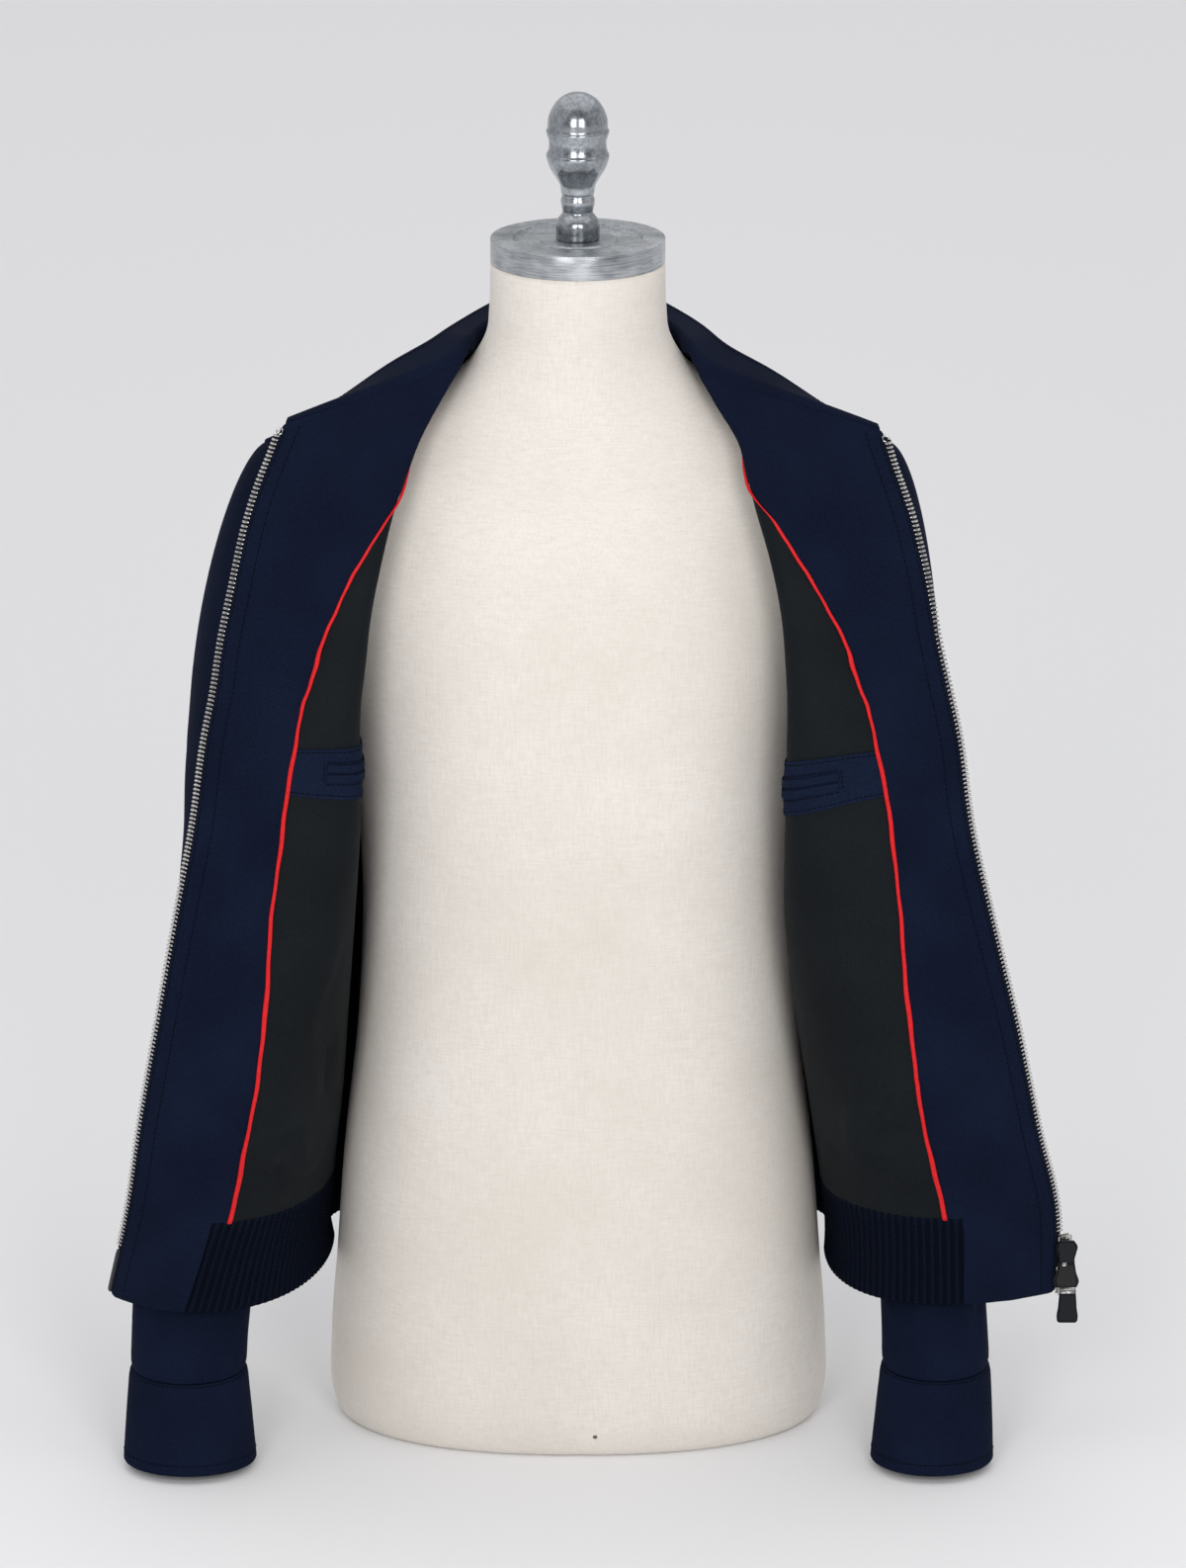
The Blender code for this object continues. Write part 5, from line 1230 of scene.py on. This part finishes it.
# The band stands out from the sleeve by the first measure, over the second below its seam.
CUFF_RAISED, CUFF_RAISED_OVER, CUFF_BELOW_SEAM = 0.0006, 0.003, 0.0002
CUFF_STITCH_BELOW_SEAM, CUFF_STITCH_ABOVE_HEM, STITCH_BESIDE = 0.0022, 0.0075, (0.001, 0.0, -0.001)
CUFF_JITTER = 0.4
CUFF_CREASES = (
    (0.030, 0.018, 0.048, 0.060, 0.003, 0.0120, -0.0010),
    (0.100, 0.010, 0.085, 0.055, -0.003, 0.0140, 0.0010),
    (0.180, 0.015, 0.200, 0.060, 0.003, 0.0160, -0.0012),
)


def cuff_surface(side, z):
    """Outer face and normals of a cuff, rounded in at its hem and pinched in at its seam."""
    rings = sleeve_rings(side, z, SLEEVE_COLUMNS)
    normals = -surface_normals(rings, wrap=True)
    angles = np.arange(SLEEVE_COLUMNS) * ARM_GIRTH / SLEEVE_COLUMNS
    folds = creases(angles + 0 * z[:, None], rings[..., 2], CUFF_CREASES, CUFF_JITTER)
    above = np.clip((z - CUFF_HEM_Z) / CUFF_EDGE_ROUND, 0, 1)
    fold_in = CUFF_FOLD_IN * (1 - np.sqrt(1 - (1 - above) ** 2))
    pinch = 0.8 * SEAM_PINCH * np.exp(-((z - CUFF_SEAM_Z) / SEAM_PINCH_WIDTH) ** 2)
    band = CUFF_RAISED * np.clip((CUFF_SEAM_Z - z) / CUFF_RAISED_OVER, 0, 1)
    rings = rings + normals * (folds + (band - fold_in - pinch)[:, None])[..., None]
    flip = np.array([SIDES[side][0], 1, 1])
    return rings * flip, -surface_normals(rings, wrap=True) * flip


for side in SIDES:
    z = CUFF_SEAM_Z - CUFF_BELOW_SEAM - (CUFF_SEAM_Z - CUFF_HEM_Z) * edge_steps(*CUFF_ROWS)
    grid, normals = cuff_surface(side, z)
    sew(f"cuff_wool_{side}", f"cuff_{side}", grid, normals, -WOOL - CUFF_RAISED, 0.0, [navy_wool], "hung",
        wrap=True)
    lines = []
    for level in (CUFF_SEAM_Z - CUFF_STITCH_BELOW_SEAM, CUFF_HEM_Z + CUFF_STITCH_ABOVE_HEM):
        ring = cuff_surface(side, level + np.array(STITCH_BESIDE))
        lines.append([np.append(part[1], part[1, :1], axis=0) for part in ring])
    stitch(f"cuff_stitching_{side}", lines)


# ----------------------------------------------------------------------
# Collar. A short stand collar of doubled wool that carries on from the fronts' edge round the
# back neck. Worn open, it falls back over the shoulders. It is topstitched along its free edge.

# Share of the half neckline (0 centre back, 1 neck side, 2 zip), the direction in which the
# collar first stands up, the one in which it then lies back, and how far up it starts to turn.
COLLAR_STAND = (
    (0.00, 0.00, 0.05, 1.00, 0.00, 0.90, 0.32, 0.0012), (0.25, 0.03, 0.05, 1.00, 0.16, 0.93, 0.20, 0.0016),
    (0.50, 0.05, 0.05, 1.00, 0.30, 0.94, -0.08, 0.0022), (0.75, 0.00, 0.10, 1.00, 0.42, 0.90, -0.12, 0.0026),
    (1.00, -0.05, 0.20, 0.95, 0.46, 0.88, -0.12, 0.0028),
    (1.13, -0.15, 0.40, 0.88, 0.43, 0.90, -0.04, 0.0026),
    (1.33, -0.25, 0.58, 0.76, 0.35, 0.93, 0.05, 0.0022), (1.50, -0.25, 0.55, 0.80, 0.28, 0.95, 0.00, 0.0016),
    (1.66, -0.25, 0.65, 0.72, 0.20, 0.95, -0.22, 0.0010),
    (1.84, -0.20, 0.85, 0.50, 0.15, 0.92, -0.42, 0.0008),
    (2.00, -0.15, 0.95, 0.20, 0.10, 0.86, -0.62, 0.0008),
)
COLLAR_HEIGHT, COLLAR_CORNER, COLLAR_STITCH_IN = 0.045, 0.009, 0.006
COLLAR_TURN = (0.0025, 0.0110)
COLLAR_NECK_COLUMNS, COLLAR_FRONT_COLUMNS, COLLAR_ROWS = 34, 70, (34, 0.008)
# The columns at the zip's end stand closer, beyond this share of the front's top edge.
COLLAR_END, COLLAR_END_COLUMNS = 0.985, 9
# How finely the top edge is measured up to the piping and beyond it.
TOP_INNER_POINTS, TOP_OUTER_POINTS = 90, 160
COLLAR_EASE = 60


def collar_half(side):
    """Half the collar [row, column]: every column starts on the neckline or the front's top edge
    and is the running sum of short steps that turn from the rise to the lean direction. The end
    at the zip is shortened along a quarter circle, and the columns are evened out with their
    neighbours, the more the higher they are."""
    sign = SIDES[side][0]
    neck_share = np.linspace(0, 1, COLLAR_NECK_COLUMNS)
    neck = neckline_back(neck_share) + np.array([0, LAYER, 0])
    reach = np.append(np.linspace(0, 1, TOP_INNER_POINTS), np.linspace(1, 3, TOP_OUTER_POINTS)[1:])
    top, _, _ = front_surface(side, np.array([[0.0], [0.02]]), reach[None])
    top = top[0] * [sign, 1, 1]
    passed = running(steps_along(top))
    front_share = np.append(np.linspace(0, COLLAR_END, COLLAR_FRONT_COLUMNS)[1:],
                            np.linspace(COLLAR_END, 1, COLLAR_END_COLUMNS)[1:])
    front = at_marks(top, passed / passed[-1], front_share)
    base = np.concatenate([neck, front])
    stand = at_height(COLLAR_STAND, np.concatenate([neck_share, 1 + front_share]))
    rise, lean, gap = unit(stand[:, 0:3]), unit(stand[:, 3:6]), stand[:, 6]
    share = edge_steps(*COLLAR_ROWS)[:, None]
    to_end = np.concatenate([np.full(len(neck), passed[-1]), passed[-1] * (1 - front_share)])
    cut = COLLAR_CORNER - np.sqrt(COLLAR_CORNER ** 2 - (COLLAR_CORNER - to_end).clip(0) ** 2)
    height = share * (COLLAR_HEIGHT + gap - cut)
    turn = np.clip((height - gap - COLLAR_TURN[0]) / (COLLAR_TURN[1] - COLLAR_TURN[0]), 0, 1)
    turn = (turn * turn * (3 - 2 * turn))[..., None]
    way = unit(between(rise, lean, turn))
    steps = np.diff(height, axis=0)[..., None] * (way[1:] + way[:-1]) / 2
    rows = np.concatenate([base[None], base + np.cumsum(steps, axis=0)])
    for _ in range(COLLAR_EASE):
        average = (rows[:, :-10] + rows[:, 2:-8]) / 2
        rows[:, 1:-9] += share[..., None] * (average - rows[:, 1:-9])
    return rows * [sign, 1, 1]


grid = np.concatenate([collar_half("right")[:, :0:-1], collar_half("left")], axis=1)
normals = surface_normals(grid)
normals = normals * np.sign(normals[-4, :, 2].sum())
sew("collar_wool", "collar", grid, normals, -COLLAR / 2, COLLAR / 2, [navy_wool], "folded",
    rim=0.6)
from_edge = np.cumsum(steps_along(grid).mean(axis=1)[::-1])
row = len(from_edge) - int(np.searchsorted(from_edge, COLLAR_STITCH_IN))
line = grid[row] + normals[row] * (COLLAR / 2 + THREAD * 0.1)
stitch("collar_stitching", [(line, normals[row])])


# ----------------------------------------------------------------------
# Hem rib. A band of knitted wool rib, about half as wide again when stretched, sewn on below the
# lining and the back from one tab round to the other. Its wales are wide and round with narrow
# grooves, and its lower edge is slightly scalloped.
RIB_KNIT, RIB_PITCH, RIB_RELIEF = 0.0024, 0.0058, 0.0016
RIB_SAMPLES, RIB_ROWS = 8, (18, 0.012)
RIB_GROOVE = 0.20
RIB_SCALLOP = 0.0005
RIB_TOP, RIB_END = 12.982, 2.02
RIB_OVERLAP = 0.0015
RIB_GATHER = 0.1
RIB_MIDDLE, RIB_BELLY, BELLY_POWER = 0.35, 0.0022, 0.8
SCALLOP_FROM = 7 / 8
RIB_TAB_POINTS, RIB_SIDE_POINTS = 12, 60
RIB_NAVY, RIB_NAVY_LIGHT = "#060912", "#0e1524"
KNIT_PITCH = 0.0022

# Knitted wool: rows of small V stitches, drawn at 2.2 mm instead of 1.2 mm so that they show. The
# grooves between the wales lie in shade.
knit, tree = start_material("navy_rib_knit", Roughness=0.9, Specular_IOR_Level=0.04)
parts = add(tree, "ShaderNodeSeparateXYZ", {0: on_cloth(tree)})
wale = combine(tree, "FRACT", combine(tree, "DIVIDE", parts.outputs[0], RIB_PITCH))
aside = combine(tree, "ABSOLUTE", combine(tree, "SUBTRACT", wale, 0.5))
lit = ramp(tree, aside, 0.06, 0.30, shape="SMOOTHSTEP")
slant = combine(tree, "MULTIPLY", aside, 9.0)
courses = combine(tree, "MULTIPLY_ADD", parts.outputs[1], 2 * math.pi / KNIT_PITCH, slant)
loops = combine(tree, "SINE", courses)
paint(tree, combine(tree, "MULTIPLY_ADD", loops, 0.22, lit), RIB_NAVY, RIB_NAVY_LIGHT)
emboss(tree, loops, 0.5, 0.0004)


def rib_edge(station, z):
    """One edge of the rib: the right front's row from the tab back, the back, the left front's row."""
    reach = np.append(np.linspace(RIB_END, 1, RIB_TAB_POINTS)[:-1], np.linspace(1, 0, RIB_SIDE_POINTS))[None]
    turns = np.linspace(1, 0, RIB_SIDE_POINTS)
    half_back = back_section(z, turns)
    right, left = (front_surface(side, np.array([[station], [station + 0.005]]), reach)[0][0]
                   for side in SIDES)
    return np.concatenate([right[:-1], half_back * [-1, 1, 1], half_back[-2::-1], left[-2::-1]])


def evenly(line, count):
    """A line's points at count + 1 even steps of its length."""
    passed = running(steps_along(line))
    return at_marks(line, passed, np.linspace(0, passed[-1], count + 1))


rib_top, rib_foot = rib_edge(RIB_TOP, RIB_SEAM_Z + RIB_OVERLAP), rib_edge(HEM_STATION - 0.005, HEM_Z)
ribs = round(steps_along(rib_foot).sum() / RIB_PITCH)
rib_top, rib_foot = evenly(rib_top, ribs * RIB_SAMPLES), evenly(rib_foot, ribs * RIB_SAMPLES)
share = edge_steps(*RIB_ROWS)[:, None]
grid = between(rib_top, rib_foot, share[..., None])
normals = surface_normals(grid)
normals = normals * np.sign(normals[:, normals.shape[1] // 2, 1].sum())
wales = np.arange(ribs * RIB_SAMPLES + 1) / RIB_SAMPLES
groove = np.exp(-((wales % 1 - 0.5) / RIB_GROOVE) ** 2)
belly = RIB_BELLY * np.sin(math.pi * share) ** BELLY_POWER
free = np.clip(share / RIB_GATHER, 0, 1) * np.clip(np.minimum(wales, ribs - wales), 0, 1)
grid = grid + normals * (RIB_RELIEF * (RIB_MIDDLE - groove) * free + belly)[..., None]
near_edge = np.clip((share - SCALLOP_FROM) / (1 - SCALLOP_FROM), 0, 1)
grid[..., 2] -= RIB_SCALLOP * (0.5 - groove) * near_edge
chart = points_of(wales * RIB_PITCH, share * (RIB_SEAM_Z - HEM_Z))
sew("rib_knit", "hem_rib", grid, surface_normals(grid), -RIB_KNIT / 2, RIB_KNIT / 2, [knit], "stretched",
    chart=chart)


# ----------------------------------------------------------------------
# Zip. A two-way metal zip, undone: each half is a black woven tape sewn in between the front and
# its facing, with nickel-plated brass teeth clamped on its corded edge and a ring-shaped top
# stop. The right half ends below in the lacquered pin.
TAPE_TOP_STATION, ZIP_TOP_STATION = 0.03, 0.45
# Each half's last station with teeth, and the last of its tape.
ZIP_ENDS = {"right": (13.41, 13.90), "left": (13.30, 13.65)}
ZIP_POINTS, TAPE_ROWS, TAPE_COLUMNS = 700, 300, (14, 0.01)
TEETH_PITCH = 0.00305
TOOTH = (0.0049, 0.0015, 0.0028)
TOOTH_BEVEL = 0.00035
TOOTH_OUT, STOP_OUT = 0.0032, 0.7
TAPE_IN, TAPE_OUT, TAPE = 0.0135, 0.0026, 0.0004
CORD_RADIUS, CORD_SIDES = 0.00115, 8
# The cord's chart is this long in all, so its weave is drawn at about the real pitch.
CORD_CHART_LENGTH = 0.6
PIN_STATIONS, PIN_POINTS, PIN_SIDES, PIN_ROUNDNESS = (13.43, 13.96), 40, 16, 3.4
PIN_OUT, PIN_WIDTH, PIN_THICKNESS, PIN_TAPER = 0.0005, 0.0040, 0.0030, (0.97, 12)
STOP_RING, STOP_WIRE, STOP_ARC, STOP_POINTS, STOP_SIDES = 0.0022, 0.0007, (-30, 270), 40, 12
NICKEL, NICKEL_DULL = "#e3e2df", "#a9a8a6"
TAPE_BLACK, TAPE_BLACK_LIGHT, BLACK_LACQUER = "#141518", "#202228", "#0e0f11"

# Nickel-plated brass, tumbled bright, with a slightly duller film in places.
nickel, tree = start_material("bright_nickel_plate", Metallic=1.0, Roughness=0.24)
paint(tree, noise(tree, in_solid(tree), 900.0, 2.0), NICKEL_DULL, NICKEL)

# Black polyester tape in a steep twill, matt.
TAPE_LOOK = (0.0012, math.radians(70), 0.6, 0.8, 0.1, 0.3)
tape_cloth = woven("black_twill_tape", TAPE_BLACK_LIGHT, TAPE_BLACK, *TAPE_LOOK)

# Black lacquer on the pin, glossy, with faint scuffs.
lacquer, tree = start_material("black_lacquer", Base_Color=linear(BLACK_LACQUER))
scuffs = noise(tree, in_solid(tree), 420.0, 3.0)
connect(tree, ramp(tree, scuffs, to_low=0.22, to_high=0.5), "Roughness")


def zip_line(side, first, last, count):
    """The edge of a front between two stations, with the directions out of it, down it and off it."""
    stations = np.linspace(first, last, count)[:, None]
    grid, normals, _ = front_surface(side, stations, np.array([[2.94, 2.97, 3.0]]))
    edge = grid[:, -1]
    down = unit(np.gradient(edge, axis=0))
    out = edge - grid[:, 0]
    out = unit(out - down * np.sum(out * down, axis=1, keepdims=True))
    face = unit(np.cross(down, out))
    return edge, out, down, face * np.sign(np.sum(face * normals[:, -1]))


for side, (last_tooth, tape_end) in ZIP_ENDS.items():
    edge, out, down, face = zip_line(side, ZIP_TOP_STATION, last_tooth, ZIP_POINTS)
    _, tape_out, _, _ = zip_line(side, TAPE_TOP_STATION, tape_end, TAPE_ROWS)
    widths = -TAPE_IN + (TAPE_IN + TAPE_OUT) * edge_steps(*TAPE_COLUMNS)
    stations = np.linspace(TAPE_TOP_STATION, tape_end, TAPE_ROWS)[:, None]
    reach = 3 - np.maximum(-widths, 0)[None] / facing_beside(side, stations)
    grid, normals, _ = front_surface(side, stations, reach)
    shown = np.clip((stations - TAPE_TOP_STATION) / (ZIP_TOP_STATION - TAPE_TOP_STATION), 0, 1) ** 0.5
    grid = grid + tape_out[:, None] * (np.maximum(widths, 0)[None] * shown)[..., None]
    sew(f"zip_tape_{side}", f"zip_{side}", grid, normals, -TAPE / 2, TAPE / 2, [tape_cloth], "stretched")

    around = full_turn(CORD_SIDES)
    cord = tube(edge + out * TAPE_OUT, out, face, oval(CORD_RADIUS, CORD_RADIUS, around)[None])
    length = np.append(np.repeat(np.linspace(0, CORD_CHART_LENGTH, len(edge)), CORD_SIDES),
                       [0, CORD_CHART_LENGTH])
    chart = np.stack([length, np.append(np.tile(around * CORD_RADIUS, len(edge)), [0, 0])], axis=-1)
    add_piece(f"zip_cord_{side}", cord, [tape_cloth], f"zip_{side}", chart=chart[cord[1]])

    place, tooth_out, tooth_down, tooth_face = paced(edge, TEETH_PITCH, out, down, face)
    teeth = strewn(rounded_bar(*TOOTH, TOOTH_BEVEL), place + tooth_out * TOOTH_OUT, tooth_out, tooth_down,
                   tooth_face)
    add_piece(f"zip_teeth_{side}", teeth, [nickel], f"zip_{side}", smooth=False)

    middle = place[0] - tooth_down[0] * (STOP_RING + TOOTH[1]) + tooth_out[0] * TOOTH_OUT * STOP_OUT
    bend = np.radians(np.linspace(*STOP_ARC, STOP_POINTS))[:, None]
    away = tooth_out[0] * np.cos(bend) - tooth_down[0] * np.sin(bend)
    wire = oval(STOP_WIRE, STOP_WIRE, full_turn(STOP_SIDES))[None]
    stop = tube(middle + away * STOP_RING, away, tooth_face[0], wire)
    add_piece(f"zip_top_stop_{side}", stop, [nickel])

edge, out, _, face = zip_line("right", *PIN_STATIONS, PIN_POINTS)
taper = np.sqrt(1 - np.linspace(-PIN_TAPER[0], PIN_TAPER[0], PIN_POINTS) ** PIN_TAPER[1])
section = taper[:, None, None] * oval(PIN_WIDTH / 2, PIN_THICKNESS / 2, full_turn(PIN_SIDES), PIN_ROUNDNESS)
pin = tube(edge + out * (PIN_OUT + PIN_WIDTH / 2), out, face, section)
add_piece("zip_pin_lacquered", pin, [lacquer], "zip_pin")


# ----------------------------------------------------------------------
# Sliders. Two die-cast, nickel-plated sliders at the lower end of the left half. Each is a front
# and a back plate joined by a post at the outer end, with a stud in front that the pull hangs on.
SLIDER_SIZE = (0.0110, 0.0052, 0.0125)
SLIDER_PLATE, SLIDER_SLOT, SLIDER_BEVEL, SLIDER_POINTS = 0.0011, 0.0053, 0.00045, 300
# The stud's height, width and length, the post's share of the slider's height and depth, and
# how far the post stands out past the plates.
SLIDER_STUD, SLIDER_POST, POST_OUT = (0.0036, 0.0034, 0.0034), (0.86, 0.9), 0.0001
# How far the slider's middle is out from the front's edge: bevel, half its width and some play.
SLIDER_OUT = SLIDER_BEVEL + SLIDER_SIZE[0] / 2 + 0.0003
# Each slider's height, and how far above its middle the stud is.
SLIDERS = {"upper": (0.1605, 0.0042), "lower": (0.1275, -0.0006)}

edge, out, _, _ = zip_line("left", RIB_STATION, HEM_STATION - 0.001, SLIDER_POINTS)
width, depth, height = SLIDER_SIZE
plate = (height, width, SLIDER_PLATE)
post = (height * SLIDER_POST[0], width - SLIDER_SLOT, depth * SLIDER_POST[1])
middle = width / 2 - SLIDER_SLOT
plate_at = depth / 2 - SLIDER_PLATE / 2
for level, (z, stud_level) in SLIDERS.items():
    nearest = int(np.argmin(np.abs(edge[:, 2] - z)))
    ahead = unit(out[nearest] * [1, 1, 0])
    centre = np.append((edge[nearest] + ahead * SLIDER_OUT)[:2], z)
    backwards = unit(np.cross(AXES[2], ahead))
    parts = []
    # Each part's size, and its place ahead, backwards and up.
    for size, at in ((plate, (middle, plate_at, 0)), (plate, (middle, -plate_at, 0)),
                     (post, (width / 2 - SLIDER_SLOT / 2 + POST_OUT, 0, 0)),
                     (SLIDER_STUD, (middle, -depth / 2 - SLIDER_STUD[2] / 2, stud_level))):
        place = centre + ahead * at[0] + backwards * at[1] + AXES[2] * at[2]
        parts.append(strewn(rounded_bar(*size, SLIDER_BEVEL), place, AXES[2], ahead, backwards))
    add_piece(f"slider_{level}", joined(parts), [nickel], f"zip_slider_{level}", smooth=False)


# ----------------------------------------------------------------------
# Pulls. Two leather pulls that swing on the sliders' studs. The upper one is waisted, a smooth
# black top above a fine-ribbed dark grey lower half, with a small nickel rivet at the waist. The
# lower one is a plain black tab clamped in a nickel bar.
PULL_THICKNESS, PULL_ROWS, PULL_COLUMNS = 0.0024, (22, 0.02), (14, 0.03)
# Drop below the hinge and half width.
PULL_UPPER_TOP = ((-0.0008, 0.0050), (0.0035, 0.0076), (0.0075, 0.0070), (0.0130, 0.0057), (0.0165, 0.0058))
PULL_UPPER_FOOT = ((0.0160, 0.0058), (0.0240, 0.0072), (0.0300, 0.0090), (0.0345, 0.0074))
PULL_LOWER = ((0.0020, 0.0058), (0.0130, 0.0066), (0.0225, 0.0073), (0.0240, 0.0069), (0.0248, 0.0057))
# Width, height and thickness of the nickel parts, and their place from the hinge.
PULL_BAR, PULL_BAR_PLACE = (0.0118, 0.0034, 0.0032), (0.0, 0.0, -0.0008)
RIVET, RIVET_PLACE = (0.0036, 0.0030, 0.0016), (-0.0016, -0.0014, -0.0165)
BAR_BEVEL = 0.0006
LEATHER, LEATHER_LIGHT, RIBBED_GREY, RIBBED_GREY_LIGHT = "#0b0e12", "#161b22", "#1a1a1a", "#292929"
GRAIN, RIB_LINE = 0.0009, 0.0009

# Smooth calf leather, black, with a fine grain and a low polish.
calf, tree = start_material("black_calf_leather", Roughness=0.42, Specular_IOR_Level=0.2)
cells = add(tree, "ShaderNodeTexVoronoi", {"Vector": in_solid(tree), "Scale": 1 / GRAIN})
paint(tree, cells.outputs["Distance"], LEATHER, LEATHER_LIGHT)
emboss(tree, cells.outputs["Distance"], 0.25, 0.0002)

# The lower half is pressed in fine upright ribs and coloured dark grey.
ribbed, tree = start_material("ribbed_grey_leather", Roughness=0.5, Specular_IOR_Level=0.2)
wave = combine(tree, "SINE", dot(tree, on_cloth(tree), (2 * math.pi / RIB_LINE, 0, 0)))
paint(tree, ramp(tree, wave, -1.0), RIBBED_GREY, RIBBED_GREY_LIGHT)
emboss(tree, wave, 0.5, 0.0002)


def leather_tab(name, level, outline, surface):
    """A flat tab below its hinge: rows down its outline, whose half widths follow a cubic."""
    drops = outline[0][0] + (outline[-1][0] - outline[0][0]) * edge_steps(*PULL_ROWS)
    across = at_height(outline, drops)[:, :1] * (2 * edge_steps(*PULL_COLUMNS) - 1)
    grid = hinges[level] + points_of(across, 0.0, -drops[:, None])
    normals = np.broadcast_to(-AXES[1], grid.shape)
    sew(name, f"zip_pull_{level}", grid, normals, -PULL_THICKNESS / 2, PULL_THICKNESS / 2, [surface],
        body=f"{level}_pull", rim=0.55)


def metal_bar(name, level, place, size):
    """A nickel bar, wide along X, fixed across a pull."""
    bar = strewn(rounded_bar(*size, BAR_BEVEL), hinges[level] + place, AXES[0], AXES[2], AXES[1])
    add_piece(name, bar, [nickel], body=f"{level}_pull")


hinges = {joint["name"].removesuffix("_pull_hinge"): np.array(joint["pos_m"]) for joint in frame["joints"]}
leather_tab("pull_upper_top", "upper", PULL_UPPER_TOP, calf)
leather_tab("pull_upper_foot", "upper", PULL_UPPER_FOOT, ribbed)
metal_bar("pull_upper_rivet", "upper", RIVET_PLACE, RIVET)
leather_tab("pull_lower_tab", "lower", PULL_LOWER, calf)
metal_bar("pull_lower_clamp", "lower", PULL_BAR_PLACE, PULL_BAR)


low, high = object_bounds()
